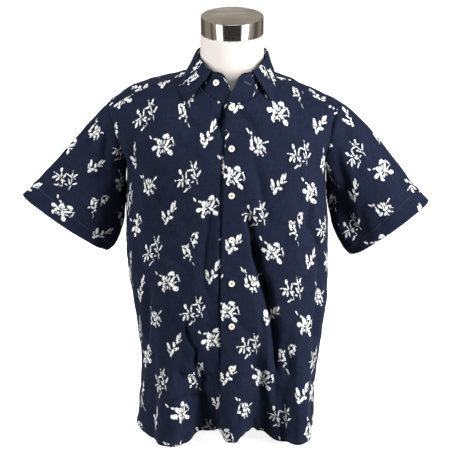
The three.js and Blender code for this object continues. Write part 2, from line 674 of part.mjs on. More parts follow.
// The collar turns over the stand's upper edge and falls outside it to its own edge.
const COLLAR_COLUMNS = 36;
const COLLAR_ROWS = 6;
const COLLAR_CLEAR = STIFF_WALL + 0.4; // its fold lies this far outside the stand's edge
const COLLAR_ABOVE = 2.5; // and this far above it
const COLLAR_ROLL = 6.5; // how far out the fold turns
function collar() {
  const rows = [];
  for (let j = 0; j <= COLLAR_ROWS; j += 1) {
    const row = [];
    for (let i = 0; i <= COLLAR_COLUMNS; i += 1) {
      const side = lerp(-1, 1, i / COLLAR_COLUMNS);
      const top = standPoint(side * COLLAR_FOLD_END, 1);
      const edge = edgeAt(COLLAR_EDGE, side * COLLAR_POINT, 0, side < 0 ? 'x' : 'leftX');
      const out = vec(top.x - NECK_X, top.y, 0).normalize();
      const from = top.clone().addScaledVector(out, COLLAR_CLEAR).add(vec(0, 0, COLLAR_ABOVE));
      const over = top.clone().addScaledVector(out, COLLAR_ROLL);
      row.push(new THREE.QuadraticBezierCurve3(from, over, edge).getPoint(j / COLLAR_ROWS));
    }
    rows.push(row);
  }
  return wall(withNormals(rows, { flip: true }), STIFF_WALL);
}
add('collar', collar(), 'cloth');

// ---------- buttons ----------
const BUTTON_RADIUS = 5.7;
const BUTTON_HEIGHT = 2.2;
const BUTTON_DISH = 0.8; // depth of the dish inside its rim
const BUTTON_RIM = 1.7; // width of the rim

function button(name, place, normal) {
  const rim = BUTTON_RADIUS;
  const floor = BUTTON_HEIGHT - BUTTON_DISH;
  const profile = [[0, 0], [rim - 0.6, 0], [rim, 0.9], [rim - 0.5, BUTTON_HEIGHT],
    [rim - BUTTON_RIM, BUTTON_HEIGHT], [rim - BUTTON_RIM - BUTTON_DISH, floor], [0, floor]];
  const points = profile.map(([x, y]) => new THREE.Vector2(x, y));
  const mesh = add(name, new THREE.LatheGeometry(points, 16), 'button');
  mesh.quaternion.setFromUnitVectors(vec(0, 1, 0), normal);
  mesh.position.copy(place).addScaledVector(normal, 2 * SEAM);
}

for (let i = 0; i <= BUTTONS_UP; i += 1) {
  const z = i < BUTTONS_UP ? LOWEST_BUTTON + i * BUTTON_STEP : TOP_BUTTON;
  const { at, normal } = onShirt(0, downTo(0, z), lapLift(0));
  button(`button_${i + 1}`, at, normal);
}

// The stand's button, near the end on the wearer's right.
const BUTTON_TURN = -164;
const BUTTON_SHARE = 0.62;
const standAcross = standPoint(BUTTON_TURN - 2, BUTTON_SHARE).sub(standPoint(BUTTON_TURN + 2, BUTTON_SHARE));
const standUp = standPoint(BUTTON_TURN, 0.75).sub(standPoint(BUTTON_TURN, 0.5));
const standNormal = standAcross.cross(standUp).normalize();
button('stand_button', standPoint(BUTTON_TURN, BUTTON_SHARE), standNormal);

// ---------- dress form ----------
const FORM_COLUMNS = 28;
const NECK_SHIFT = { from: 640, to: 720 }; // heights between which the form moves over to NECK_X
const TILT_FROM = 740; // height above which its sections turn to the neck's tilt
function dressForm() {
  const heights = [];
  FORM.slice(1).forEach((row, i) => heights.push(FORM[i].z, (FORM[i].z + row.z) / 2));
  heights.push(FORM.at(-1).z);
  const points = [];
  for (const z of heights) {
    const power = read(FORM, 'z', 'power', z);
    const half = read(FORM, 'z', 'half', z);
    const depth = read(FORM, 'z', 'depth', z);
    const middle = read(FORM, 'z', 'middle', z);
    const neck = smooth(z, NECK_SHIFT.from, NECK_SHIFT.to);
    const tilt = Math.tan(CAP_TILT) * smooth(z, TILT_FROM, FORM.at(-1).z);
    for (let i = 0; i < FORM_COLUMNS; i += 1) {
      const turn = (i / FORM_COLUMNS) * 2 * Math.PI;
      const x = half * signedPower(Math.sin(turn), 2 / power);
      const y = middle + depth * signedPower(Math.cos(turn), 2 / power);
      points.push(vec(lerp(CENTRE, NECK_X, neck) + x, y, z + y * tilt));
    }
  }
  const faces = [];
  for (let j = 0; j < heights.length - 1; j += 1) {
    for (let i = 0; i < FORM_COLUMNS; i += 1) {
      const a = j * FORM_COLUMNS + i;
      const b = j * FORM_COLUMNS + ((i + 1) % FORM_COLUMNS);
      faces.push(a, b, b + FORM_COLUMNS, a, b + FORM_COLUMNS, a + FORM_COLUMNS);
    }
  }
  const top = (heights.length - 1) * FORM_COLUMNS;
  for (let i = 1; i < FORM_COLUMNS - 1; i += 1) {
    faces.push(0, i + 1, i);
    faces.push(top, top + i, top + i + 1);
  }
  return solid(points, faces);
}
add('dress_form', dressForm(), 'form');

function neckCap() {
  const edge = 2;
  const profile = [[0, 0], [CAP_RADIUS, 0], [CAP_RADIUS, CAP_HEIGHT - edge],
    [CAP_RADIUS - edge * 0.3, CAP_HEIGHT - edge * 0.3], [CAP_RADIUS - edge, CAP_HEIGHT],
    [0, CAP_HEIGHT]];
  return new THREE.LatheGeometry(profile.map(([x, y]) => new THREE.Vector2(x, y)), 48);
}
const cap = add('neck_cap', neckCap(), 'chrome');
cap.rotation.x = QUARTER + CAP_TILT;
cap.position.set(NECK_X, 0, CAP_TOP - CAP_HEIGHT);

// ---------- place: the middle of its base stands on the origin ----------
group.updateMatrixWorld(true);
const box = new THREE.Box3().setFromObject(group, true);
group.position.set(-(box.min.x + box.max.x) / 2, -(box.min.y + box.max.y) / 2, -box.min.z);

export default group;
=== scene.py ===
# %% [markdown]
# # A short-sleeved shirt on a torso dress form
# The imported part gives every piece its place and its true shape, but its solids are coarse. Each cell
# below takes one piece of the shirt or of the dress form, says what it is on the real thing, and
# makes it again finely enough to be looked at closely.

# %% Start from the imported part
import math
import bpy
import numpy as np
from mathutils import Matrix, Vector


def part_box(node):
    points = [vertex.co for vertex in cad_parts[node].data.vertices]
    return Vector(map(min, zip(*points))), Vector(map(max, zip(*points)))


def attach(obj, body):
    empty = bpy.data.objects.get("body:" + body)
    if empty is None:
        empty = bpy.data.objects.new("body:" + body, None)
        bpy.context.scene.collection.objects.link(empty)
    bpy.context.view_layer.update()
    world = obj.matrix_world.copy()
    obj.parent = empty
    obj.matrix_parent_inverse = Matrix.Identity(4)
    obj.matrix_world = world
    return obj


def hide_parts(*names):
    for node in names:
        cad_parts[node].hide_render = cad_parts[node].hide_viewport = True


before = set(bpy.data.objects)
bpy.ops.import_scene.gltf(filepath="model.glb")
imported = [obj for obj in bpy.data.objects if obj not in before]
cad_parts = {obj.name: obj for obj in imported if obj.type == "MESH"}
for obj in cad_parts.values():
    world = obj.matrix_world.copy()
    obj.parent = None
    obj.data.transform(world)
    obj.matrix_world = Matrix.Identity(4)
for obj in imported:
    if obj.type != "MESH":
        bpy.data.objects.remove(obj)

bpy.ops.object.select_all(action="DESELECT")
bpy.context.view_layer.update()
print("nodes:", len(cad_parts))

# %% [markdown]
# The shirt is one surface over the torso, cut along its seams. A place on it is (s, p), in
# millimetres: s runs round the body from the button line, and p runs down from the shoulder's ridge,
# more than 0 on the front and less than 0 on the back. The tables are the garment's own sizes, the
# same ones that its solids are made from, so each fine piece lies exactly on its solid.

# %% Sizes of the shirt, in millimetres
STIFF_WALL, WALL, SEAM = 2.0, 1.3, 0.3  # the collar's cloth, the shirt's, and the gap at a seam
HEM, HEM_SIDE, ARMPIT, CENTRE = 8, 10, 533, 3
BUTTON_STEP, BUTTONS_UP, LOWEST_BUTTON, TOP_BUTTON = 87, 6, 173, 681
LAP, LAP_TURN = 24, 6.8
SLEEVE_HEM, SLEEVE_LENGTH = 30, 215
NECK_X = 4
NECK_HALF, NECK_FRONT, NECK_BACK, YOKE_BACK = 76, 689, 722, 622
YOKE_NECK, YOKE_TIP = math.radians(14), math.radians(25)
SHOULDER = {"right": 240, "left": 208}
BACK_SHOULDER, ARMHOLE_DIP, ARMHOLE_POWER, HEM_LEVEL = 14, 5, 1.6, 0.55
QUARTER = math.pi / 2


def table(names, *rows):
    """A table as a dict of columns. Its rows are tuples, or one text with rows between ; or line ends."""
    if isinstance(rows[0], str):
        rows = [row.split() for row in rows[0].strip().replace("\n", ";").split(";")]
    return {name: np.array(column, float) for name, column in zip(names.split(), zip(*rows))}


SECTIONS = table(
    "z right left front back power",
    (HEM, 187, 161, 110, 108, 2.6), (70, 181, 162, 116, 110, 2.5), (137, 177, 168, 122, 112, 2.3),
    (220, 183, 179, 128, 112, 2.2), (290, 193, 185, 131, 113, 2.2), (400, 203, 186, 134, 118, 2.25),
    (ARMPIT, 200, 180, 136, 134, 2.35), (600, 226, 200, 126, 134, 2.35),
    (660, 262, 236, 110, 114, 2.4), (720, 300, 272, 92, 88, 2.4),
)
RIDGE = table("s right left round", """
    0 748 746 60; 80 727 723 80; 120 718 704 95; 160 706 688 105; 200 690 671 110; 240 666 655 110
""")
FOLD_COLUMNS = "from_s from_z to_s to_z out half edge lift"
FRONT_FOLDS = table(
    FOLD_COLUMNS,
    (-150, 260, -136, HEM, 38, 28, 5, 5), (-66, 210, -53, HEM, -32, 34, 4, 19),
    (4, 240, 6, HEM, 5, 20, 2, 7), (-25, 60, -25, HEM, 0, 9, 3, 11), (23, 60, 23, HEM, 0, 9, 3, 14),
    (34, 500, 66, HEM, -32, 26, 2, 16),
    (36, 130, 41, HEM, -20, 14, 3, 14), (150, 290, 163, HEM, 44, 30, 4, 5),
)
BACK_FOLDS = table(
    FOLD_COLUMNS,
    (-128, 360, -142, HEM, 26, 32, 2, 0), (-60, 300, -70, HEM, -18, 30, 2, 6),
    (14, 380, 4, HEM, 20, 34, 2, 0), (66, 280, 76, HEM, -22, 28, 2, 8),
    (118, 330, 138, HEM, 24, 30, 2, 0),
)
STAND_TOP = table("turn x y z", """
    -45 -46 45 761; 0 0 65 763; 45 46 45 761; 90 64 0 757; 125 55 -40 750; 155 39 -67 742
    187 16 -86 742
""")
COLLAR_EDGE = table("turn x left_x y z", """
    -45 -66 -66 62 722; 0 0 0 88 717; 45 66 66 62 722; 90 80 80 4 728; 122 89 86 -36 719
    145 95 85 -60 706; 172 80 78 -88 688
""")
STAND_ROUND, COLLAR_FOLD_END, COLLAR_POINT = 13, 158, 172
CUFFS = {
    "right": dict(top=(-397, 482), under=(-237, 371), half=32, crown=0, hug=(46, 46)),
    "left": dict(top=(381, 470), under=(235, 362), half=34, crown=16, hug=(30, 54)),
}
FORM = table(
    "z half depth middle",
    (0, 112, 50, 36), (30, 118, 54, 33), (90, 130, 70, 24), (137, 138, 81, 18), (266, 150, 94, 10),
    (389, 160, 104, 5), (480, 166, 113, 4), (ARMPIT, 168, 116, 5), (600, 182, 112, 6),
    (635, 184, 101, 4), (656, 168, 88, 3), (678, 122, 77, 0), (698, 88, 71, -1), (716, 66, 66, -2),
    (735, 61.6, 62, -1), (760, 60.8, 61, 0), (797.7, 60.5, 60.5, 0),
)

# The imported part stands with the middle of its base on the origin; the tables count from the torso.
FORM_MIDDLE = (3, 5)  # on the tables
form_low, form_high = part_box("dress_form")
middles = ((low + high) * 500 for low, high in zip(form_low, form_high))
SHIFT = np.array([*(middle - at for middle, at in zip(middles, FORM_MIDDLE)), 0])
print("the torso's middle, mm:", SHIFT.round(2))


# %% Reading the tables
def read(rows, by, name, at):
    """The value of one column where another has the value `at`, on a curve that never overshoots."""
    x, y = rows[by], rows[name]
    at = np.clip(at, x[0], x[-1])
    i = np.clip(np.searchsorted(x, at) - 1, 0, len(x) - 2)
    slope = np.diff(y) / np.diff(x)
    before, after = slope[:-1], slope[1:]
    total = np.where(before + after == 0, 1, before + after)
    inner = np.where(before * after <= 0, 0, 2 * before * after / total)
    tangent = np.concatenate([slope[:1], inner, slope[-1:]])
    step = x[i + 1] - x[i]
    t = (at - x[i]) / step
    start = y[i] + tangent[i] * step * t
    end = y[i + 1] - tangent[i + 1] * step * (1 - t)
    return start + (end - start) * t * t * (3 - 2 * t)


def smooth(x, low, high):
    t = np.clip((x - low) / (high - low), 0, 1)
    return t * t * (3 - 2 * t)


def lerp(a, b, t):
    return a + (b - a) * t


def by_side(s, values):
    """values["left"] where s is 0 or more, values["right"] elsewhere."""
    return np.where(s < 0, values["right"], values["left"])


def read_side(rows, by, at, s):
    return np.where(s < 0, read(rows, by, "right", at), read(rows, by, "left", at))


# %% The shirt's surface
ANGLES = np.linspace(0, QUARTER, 121)


def quarter_sections(s, p, z):
    """For each place, points on its quarter of the level section, with distances along the cloth."""
    half = read_side(SECTIONS, "z", z, s)
    depth = np.where(p < 0, read(SECTIONS, "z", "back", z), read(SECTIONS, "z", "front", z))
    power = 2 / read(SECTIONS, "z", "power", z)
    x = half[..., None] * np.sin(ANGLES) ** power[..., None]
    y = depth[..., None] * np.cos(ANGLES) ** power[..., None]
    steps = np.hypot(np.diff(x), np.diff(y))
    along = np.concatenate([np.zeros_like(steps[..., :1]), np.cumsum(steps, axis=-1)], axis=-1)
    return x, y, along


def widths(s, p):
    return quarter_sections(s, p, np.full_like(s, ARMPIT))[2][..., -1]


def side_width(side, face):
    one = np.array([1.0])
    return widths(one if side == "left" else -one, one if face == "front" else -one)[0]


def tip_of(s):
    return np.minimum(np.abs(s), by_side(s, SHOULDER))


def ridge_height(s):
    return read_side(RIDGE, "s", tip_of(s), s)


def round_of(s):
    return read(RIDGE, "s", "round", tip_of(s))


def down_to(s, z):
    """How far down from the ridge a height z lies."""
    drop = ridge_height(s) - z
    turn = round_of(s)
    over = turn * np.arccos(np.clip(1 - drop / turn, -1, 1))
    return np.where(drop < turn, over, drop + turn * (QUARTER - 1))


def over_ridge(s, p):
    """Height of (s, p), and how far round the ridge it is: 0 on top, 1 where the cloth hangs."""
    turn = round_of(s)
    angle = np.abs(p) / turn
    below = angle >= QUARTER
    z = ridge_height(s) - np.where(below, turn + (angle - QUARTER) * turn, turn * (1 - np.cos(angle)))
    return z, np.where(below, 1.0, np.sin(np.minimum(angle, QUARTER)))


def bell(distance, half, edge=2):
    return np.exp(-np.abs(distance / half) ** edge)


FOLD_GROWTH = 1.3


def folds_out(folds, s, z):
    """How far the big folds stand out of the level sections; they grow downward."""
    out = np.zeros_like(s)
    for k in range(len(folds["out"])):
        fold = {name: column[k] for name, column in folds.items()}
        along = np.clip((fold["from_z"] - z) / (fold["from_z"] - fold["to_z"]), 0, 1)
        middle = lerp(fold["from_s"], fold["to_s"], along)
        out += fold["out"] * along ** FOLD_GROWTH * bell(s - middle, fold["half"], fold["edge"])
    return out


FOLD_ASIDE, FOLD_STOP = 0.25, 0.72  # how far a fold leans, and the share of a side where it dies away


def shirt_points(s, p):
    """The points of the shirt's surface at (s, p)."""
    z, full = over_ridge(s, p)
    x, y, arc = quarter_sections(s, p, z)
    total = arc[..., -1]
    stretch = np.where(z < ARMPIT, total / widths(s, p), 1)
    along = np.clip(np.abs(s) * stretch, 0, total - 1e-6)
    i = np.clip((arc <= along[..., None]).sum(axis=-1) - 1, 0, len(ANGLES) - 2)[..., None]

    def pick(values, k):
        return np.take_along_axis(values, k, axis=-1)[..., 0]

    length = pick(arc, i + 1) - pick(arc, i)
    t = (along - pick(arc, i)) / length
    folds = np.where(p < 0, folds_out(BACK_FOLDS, s, z), folds_out(FRONT_FOLDS, s, z))
    out = folds * (1 - smooth(along / total, FOLD_STOP, 1))
    ax, bx, ay, by = pick(x, i), pick(x, i + 1), pick(y, i), pick(y, i + 1)
    px = lerp(ax, bx, t) + FOLD_ASIDE * out * (ay - by) / length
    py = lerp(ay, by, t) * full + out
    return np.stack([CENTRE + np.where(s < 0, -1, 1) * px, np.where(p < 0, 1, -1) * py, z], axis=-1)


def unit(v):
    return v / np.maximum(np.linalg.norm(v, axis=-1, keepdims=True), 1e-9)


def shirt_normals(s, p, step=2.0):
    across = shirt_points(s + step, p) - shirt_points(s - step, p)
    down = shirt_points(s, p + step) - shirt_points(s, p - step)
    return unit(np.cross(down, across))


def on_shirt(s, p, out=0.0):
    s, p = np.broadcast_arrays(np.asarray(s, float), np.asarray(p, float))
    normals = shirt_normals(s, p)
    return shirt_points(s, p) + normals * np.asarray(out, float)[..., None], normals


WIDTH = {side: {face: side_width(side, face) for face in ("front", "back")} for side in SHOULDER}
for side, faces in WIDTH.items():
    print(f"{side} half at the armpit: front {faces['front']:.0f} mm, back {faces['back']:.0f} mm")

# %% [markdown]
# The seams are lines on that surface. The neckline is an ellipse of (s, p); the yoke's front seams
# lie a little forward of the shoulder's ridge and its back seam is level. Each armhole runs from the
# yoke's corner down to the armpit, dipping in on the way.

# %% Where the seams lie
P_FRONT = float(down_to(np.array(0.0), NECK_FRONT))
P_BACK = float(down_to(np.array(0.0), NECK_BACK))
SIGN = {"right": -1, "left": 1}


def neckline(turn):
    """s and p at a turn in degrees round the neck from the centre back, past 180 at the front edge."""
    angle = np.radians(np.abs(turn))
    s = np.sign(turn) * NECK_HALF * np.sin(angle)
    return s, -np.where(np.abs(turn) < 90, P_BACK, P_FRONT) * np.cos(angle)


def yoke_front(side, s):
    along = np.clip((s - NECK_HALF) / (SHOULDER[side] - NECK_HALF), 0, 1)
    return round_of(SIGN[side] * s) * lerp(YOKE_NECK, YOKE_TIP, along)


def yoke_back(s):
    return -down_to(s, YOKE_BACK)


def yoke_neck_turn(side):
    return 90 + math.degrees(math.asin(float(yoke_front(side, np.array(float(NECK_HALF)))) / P_FRONT))


def armhole(side, face, t):
    """s and p of the armhole from the yoke's seam (t = 0) to the armpit (t = 1)."""
    top_s = np.array(float(SHOULDER[side] - (0 if face == "front" else BACK_SHOULDER)))
    top_p = yoke_front(side, top_s) if face == "front" else yoke_back(SIGN[side] * top_s)
    top_z = over_ridge(SIGN[side] * top_s, top_p)[0]
    z = lerp(top_z, ARMPIT, np.sin(t * QUARTER))
    widest = WIDTH[side][face] - SEAM / 2
    s = lerp(top_s, widest, (1 - np.cos(t * QUARTER)) ** ARMHOLE_POWER)
    s = s - ARMHOLE_DIP * np.sin(t * math.pi)
    p = down_to(SIGN[side] * s, z)
    return SIGN[side] * s, p if face == "front" else -p


def hem_height(s, face):
    """Height of the lower edge, which rises toward the sides and over the folds."""
    folds = FRONT_FOLDS if face == "front" else BACK_FOLDS
    share = np.abs(s) / by_side(s, {side: faces[face] for side, faces in WIDTH.items()})
    z = HEM + HEM_SIDE * smooth(share, HEM_LEVEL, 1)
    for lift, middle, half, edge in zip(folds["lift"], folds["to_s"], folds["half"], folds["edge"]):
        z = z + lift * bell(s - middle, half, edge)
    return z


# %% [markdown]
# Cloth never hangs smoothly. The big folds are in the surface above; the creases here are the smaller
# ones that a hand would press in: soft troughs and ridges, each with its own length, depth and width.
# Every row gives a crease's two ends as (s, z), how far its middle bows aside, how high it stands
# (below 0, how deep it lies), its half width, and how much softer one of its flanks is.

# %% Creases of the body
CREASE_COLUMNS = "s0 z0 s1 z1 bow high half lean"
FRONT_CREASES = table(CREASE_COLUMNS, """
    24 500 44 385 0 -12 6 -0.5; 38 420 64 310 1 -21 7.5 -0.6; 56 352 82 235 1 -22 9 -0.6
    78 268 93 150 2 -21 11 -0.6; 91 180 96 84 0 -12 14 -0.5; 34 380 60 180 2 8.1 14 0.2
    38 612 80 440 3 -5.4 9 0; -36 505 -53 305 2 -8.1 9 0.2; -40 330 -52 200 -3 -4.1 12 0
    -92 262 -74 203 3 -8.1 6 0.3; -75 214 -79 180 -2 -8.1 6 0; -80 192 -63 154 4 -8.1 6 0.3
    -67 168 -55 132 -2 -6.8 7 0; -62 150 -58 50 2 -9 12 0; -140 92 -62 98 -14 -5.4 6 0.4
    -128 172 -70 140 10 -4.1 9 0.3; 178 512 152 430 4 -9.5 7 0.3; 150 448 186 392 -5 -8.1 7 0.3
    200 656 222 588 -3 -8.1 6 0.3; 220 604 240 516 2 -5.4 8 0; 110 236 142 120 5 -8.1 15 0
    192 310 188 190 2 -8.1 10 0; 180 400 190 300 -6 -5.4 10 0.2; 12 270 42 234 1 -2.7 5 0
    -168 330 -206 180 5 -8.1 11 0; -148 532 -126 482 1 -4.7 6 0; 10 674 48 630 -4 -6.8 8 0
    -34 668 -12 640 2 -6.8 7 0; -210 480 -176 330 8 -6.8 11 0.3; -226 545 -168 522 8 -5.4 9 0.2
    -188 615 -208 540 6 -6.8 8 0.3; -120 420 -128 250 6 5.4 20 0.1; 120 480 124 330 -5 5.4 20 0.1
    -96 690 -56 636 8 -4.1 12 0.3; 96 690 60 640 -8 -4.1 12 0.3; 22 90 14 50 2 -6.8 7 0
    88 722 93 684 0 -2.2 9 0; -82 722 -88 684 0 -3 10 0; -104 140 -112 40 4 8.1 16 0
    150 130 160 40 3 6.8 16 0; -150 420 -96 380 6 -2.7 9 0.3
""")
BACK_CREASES = table(CREASE_COLUMNS, """
    -206 560 -130 470 14 -5 12 0.3; 196 560 120 450 -14 -5 12 0.3; -180 500 -120 400 10 -4 12 0.2
    178 490 128 380 -9 -4 11 0.3; -30 600 -44 400 6 -3 14 0.3; 40 610 60 420 -6 -3 13 0.3
    -90 590 -84 440 -6 2.5 15 0.2; 96 580 88 440 5 2.5 15 0.2; -120 380 -20 340 12 -3 11 0.3
    120 350 30 320 -10 -3 11 0.3; -16 330 0 160 5 -3 13 0.2; 150 300 158 150 6 -3.5 12 0.3
    -150 300 -172 160 -6 -3.5 12 0.3; 60 230 52 110 4 2.5 12 0.2
""")


def crease_height(rows, a, b):
    """How far the creases lift the cloth at the places (a, b)."""
    lift = np.zeros_like(a)
    for s0, z0, s1, z1, bow, high, half, lean in zip(*(rows[name] for name in CREASE_COLUMNS.split())):
        length = math.hypot(s1 - s0, z1 - z0)
        along = ((a - s0) * (s1 - s0) + (b - z0) * (z1 - z0)) / length ** 2
        aside = ((a - s0) * (z1 - z0) - (b - z0) * (s1 - s0)) / length - bow * 4 * along * (1 - along)
        flank = half * (1 + lean * np.sign(aside) * smooth(np.abs(aside), 0, half))
        ends = smooth(along, -0.12, 0.3) * (1 - smooth(along, 0.65, 1.12))
        lift += high * ends * bell(aside, flank)
    return lift


# Long shallow waves, too small for creases: length in each direction, phase and height.
WAVES = table("s z phase high", """
    97 260 0.4 0.7; 61 -143 1.7 0.5; 39 118 2.9 0.35; 27 -71 4.1 0.22; 150 58 5.0 0.4; -44 47 0.9 0.25
    19 160 2.2 0.2; -23 33 3.6 0.15
""")


def wave_height(a, b):
    lift = np.zeros_like(a)
    for s, z, phase, high in zip(*WAVES.values()):
        lift += high * np.sin(2 * math.pi * (a / s + b / z) + phase)
    return lift


# The right front sinks beside the placket that laps over it, deepest between the buttons.
UNDER_DIPS = table("z deep half", (662, 11, 20), (560, 1.5, 60), (285, 4, 50), (180, 3, 45))
UNDER_DEPTH, UNDER_S, UNDER_HALF = 1.6, -16, 7


def under_dip(s, p):
    z = over_ridge(s, p)[0]
    deep = UNDER_DEPTH + sum(d * bell(z - middle, half) for middle, d, half in zip(*UNDER_DIPS.values()))
    return -deep * bell(s - UNDER_S, UNDER_HALF)


def creased(s, p, out, calm=1.0):
    """Points of the shirt with its creases, `out` from the surface; calm is 0 where they die away."""
    z = over_ridge(s, p)[0]
    lift = np.where(p < 0, crease_height(BACK_CREASES, s, z), crease_height(FRONT_CREASES, s, z))
    return on_shirt(s, p, out + calm * (lift + wave_height(s, p)))


# %% [markdown]
# Each piece is a grid of points made into a mesh, given a thickness with Solidify, and a UV map that
# counts millimetres along and across the grain. The print and the weave read that map, so they
# follow the cloth over every fold, and each piece is cut from its own place in the print.

# %% From a grid of points to a piece of cloth
CLOTH = 0.9  # thickness of the fine pieces
# For each piece, a sprig's place on its cut, then how far a step across the cut and a step up it go
# across the print, and how far they go up it.
PRINT = {
    "left_front": ((8, -90), (1.04, -0.04), (0.08, 1)),
    "right_front": ((-49, -147), (1.04, 0.03), (-0.2, 1)),
    "back": ((20, -60), (-1.04, 0), (0, 1)),
    "yoke": ((0, -30), (1, 0), (0, 1)),
    "right_sleeve": ((10.7, 244), (1, 0), (-0.04, 1.21)),
    "left_sleeve": ((-144, 110.4), (1, 0), (0.01, 1.11)),
    "collar_stand": ((-68.1, -26), (0.94, 0), (0, 1)),
    "collar": ((69, -173), (1, 0), (0, -1)),
}


def keep_only(*objects):
    """Selects these objects alone, the first one active."""
    bpy.ops.object.select_all(action="DESELECT")
    for thing in objects:
        thing.select_set(True)
    bpy.context.view_layer.objects.active = objects[0]


def apply_modifier(thing, kind, **settings):
    keep_only(thing)
    modifier = thing.modifiers.new(kind.title(), kind)
    for name, value in settings.items():
        setattr(modifier, name, value)
    bpy.ops.object.modifier_apply(modifier=modifier.name)


def grid_object(name, points, outward, chart, ring=False):
    """A sheet through rows of points. chart gives (u, v) in millimetres for each point, with one more
    column than the points where the sheet is a ring."""
    rows, columns = points.shape[:2]
    spans = columns if ring else columns - 1
    j, i = np.meshgrid(np.arange(rows - 1), np.arange(spans), indexing="ij")
    j, i = j.ravel(), i.ravel()
    corners = [(j, i), (j, i + 1), (j + 1, i + 1), (j + 1, i)]
    middle = (rows // 2, spans // 2)
    first = points[middle[0], (middle[1] + 1) % columns] - points[middle]
    second = points[(middle[0] + 1) % rows, middle[1]] - points[middle]
    if np.dot(np.cross(first, second), outward[middle]) < 0:
        corners.reverse()
    faces = np.stack([row * columns + column % columns for row, column in corners], axis=-1)
    corner_chart = np.stack([chart[row, column] for row, column in corners], axis=1)
    mesh = bpy.data.meshes.new(name)
    mesh.from_pydata(((points + SHIFT) / 1000).reshape(-1, 3).tolist(), [], faces.tolist())
    layer = mesh.uv_layers.new(name="grain")
    layer.data.foreach_set("uv", (corner_chart / 1000).astype(np.float32).ravel())
    mesh.shade_smooth()
    thing = bpy.data.objects.new(name, mesh)
    bpy.context.scene.collection.objects.link(thing)
    return thing


def in_print(cut, sprig_at, across, up):
    """Where each place of a cut lies in the print."""
    from_sprig = cut - np.array(sprig_at)
    return np.stack([from_sprig @ np.array(across), from_sprig @ np.array(up)], axis=-1)


def cloth(node, points, outward, cut, thickness=CLOTH, ring=False):
    """A finished piece of the shirt, which stands for its node. cut gives (across, up) in millimetres
    on the flat piece for each point."""
    name = f"{node}_cloth"
    thing = grid_object(name, points, outward, in_print(cut, *PRINT[node]), ring)
    apply_modifier(thing, "SOLIDIFY", thickness=thickness / 1000, offset=-1, use_rim=True)
    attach(thing, "root")
    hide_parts(node)
    return thing


# %% [markdown]
# ## Fronts, back and yoke
# The panels are cut flat and sewn at the shoulders, sides and yoke. Their columns follow the grain
# down from each seam, and the two fronts share the columns where the left one laps over the right.

# %% Columns and rows of the panels
FINE = 4  # fine columns for each of the solid's
NECK_STEPS, YOKE_NECK_STEPS, SHOULDER_STEPS, ARMHOLE_STEPS, LAP_COLUMNS = 6, 8, 5, 7, 4
PANEL_ROWS = 168


def front_columns(side):
    """Top s, top p and bottom s of one front's columns, from its edge outward."""
    w = SIGN[side]
    steps = NECK_STEPS + SHOULDER_STEPS + ARMHOLE_STEPS
    lap_turns = np.linspace(180 + LAP_TURN, 180 - LAP_TURN, LAP_COLUMNS * FINE, endpoint=False)
    neck_turns = np.linspace(180 - LAP_TURN, yoke_neck_turn(side), NECK_STEPS * FINE, endpoint=False)
    lap_s, lap_p = neckline(w * lap_turns)
    neck_s, neck_p = neckline(w * neck_turns)
    edge = abs(neckline(np.array(yoke_neck_turn(side)))[0])
    shoulder = np.linspace(edge, SHOULDER[side], SHOULDER_STEPS * FINE, endpoint=False)
    hole_s, hole_p = armhole(side, "front", np.linspace(0, 1, ARMHOLE_STEPS * FINE + 1))
    top_s = np.concatenate([lap_s, neck_s, w * shoulder, hole_s])
    top_p = np.concatenate([lap_p, neck_p, yoke_front(side, shoulder) + SEAM / 2, hole_p])
    widest = WIDTH[side]["front"] - SEAM / 2
    bottom_s = w * np.concatenate([
        np.linspace(-LAP, LAP, LAP_COLUMNS * FINE, endpoint=False),
        np.linspace(LAP, widest, steps * FINE + 1),
    ])
    return top_s, top_p, bottom_s


def back_columns(side):
    w = SIGN[side]
    edge = SHOULDER[side] - BACK_SHOULDER
    steps = NECK_STEPS + SHOULDER_STEPS
    s = w * np.linspace(0, edge, steps * FINE, endpoint=False)
    hole_s, hole_p = armhole(side, "back", np.linspace(0, 1, ARMHOLE_STEPS * FINE + 1))
    top_s = np.concatenate([s, hole_s])
    top_p = np.concatenate([yoke_back(s) - SEAM / 2, hole_p])
    widest = WIDTH[side]["back"] - SEAM / 2
    return top_s, top_p, w * np.linspace(0, widest, (steps + ARMHOLE_STEPS) * FINE + 1)


def panel_places(columns, face):
    """(s, p) of a panel's rows, from its top to its hem."""
    top_s, top_p, bottom_s = columns
    share = np.linspace(0, 1, PANEL_ROWS + 1)[:, None]
    bottom_p = (1 if face == "front" else -1) * down_to(bottom_s, hem_height(bottom_s, face))
    return lerp(top_s, bottom_s, share * (2 - share)), lerp(top_p, bottom_p, share)


def lap_lift(s):
    """The left front lies over the right one, so it is moved out where they lap."""
    return (WALL + 2 * SEAM) * (1 - smooth(s, LAP, LAP * 2.5))


SPAN_STEP, SPAN_ROW = 4.0, 10.0  # millimetres between the table's columns and rows
SPAN_SIDE, SPAN_DEPTH = 70, 83  # columns to either side of the middle, and rows down


def span_table(face):
    """Distance along the cloth from its middle, folds and all, for steps of s and p."""
    s = np.arange(-SPAN_SIDE, SPAN_SIDE + 1) * SPAN_STEP
    p = np.arange(SPAN_DEPTH + 1) * SPAN_ROW
    down = np.maximum(p, 1)[:, None] * (1 if face == "front" else -1)
    points = shirt_points(*np.broadcast_arrays(s[None, :], down))
    steps = np.linalg.norm(np.diff(points, axis=1), axis=-1)
    far = np.concatenate([np.zeros((len(p), 1)), np.cumsum(steps, axis=1)], axis=1)
    return far - far[:, SPAN_SIDE:SPAN_SIDE + 1]


SPANS = {face: span_table(face) for face in ("front", "back")}


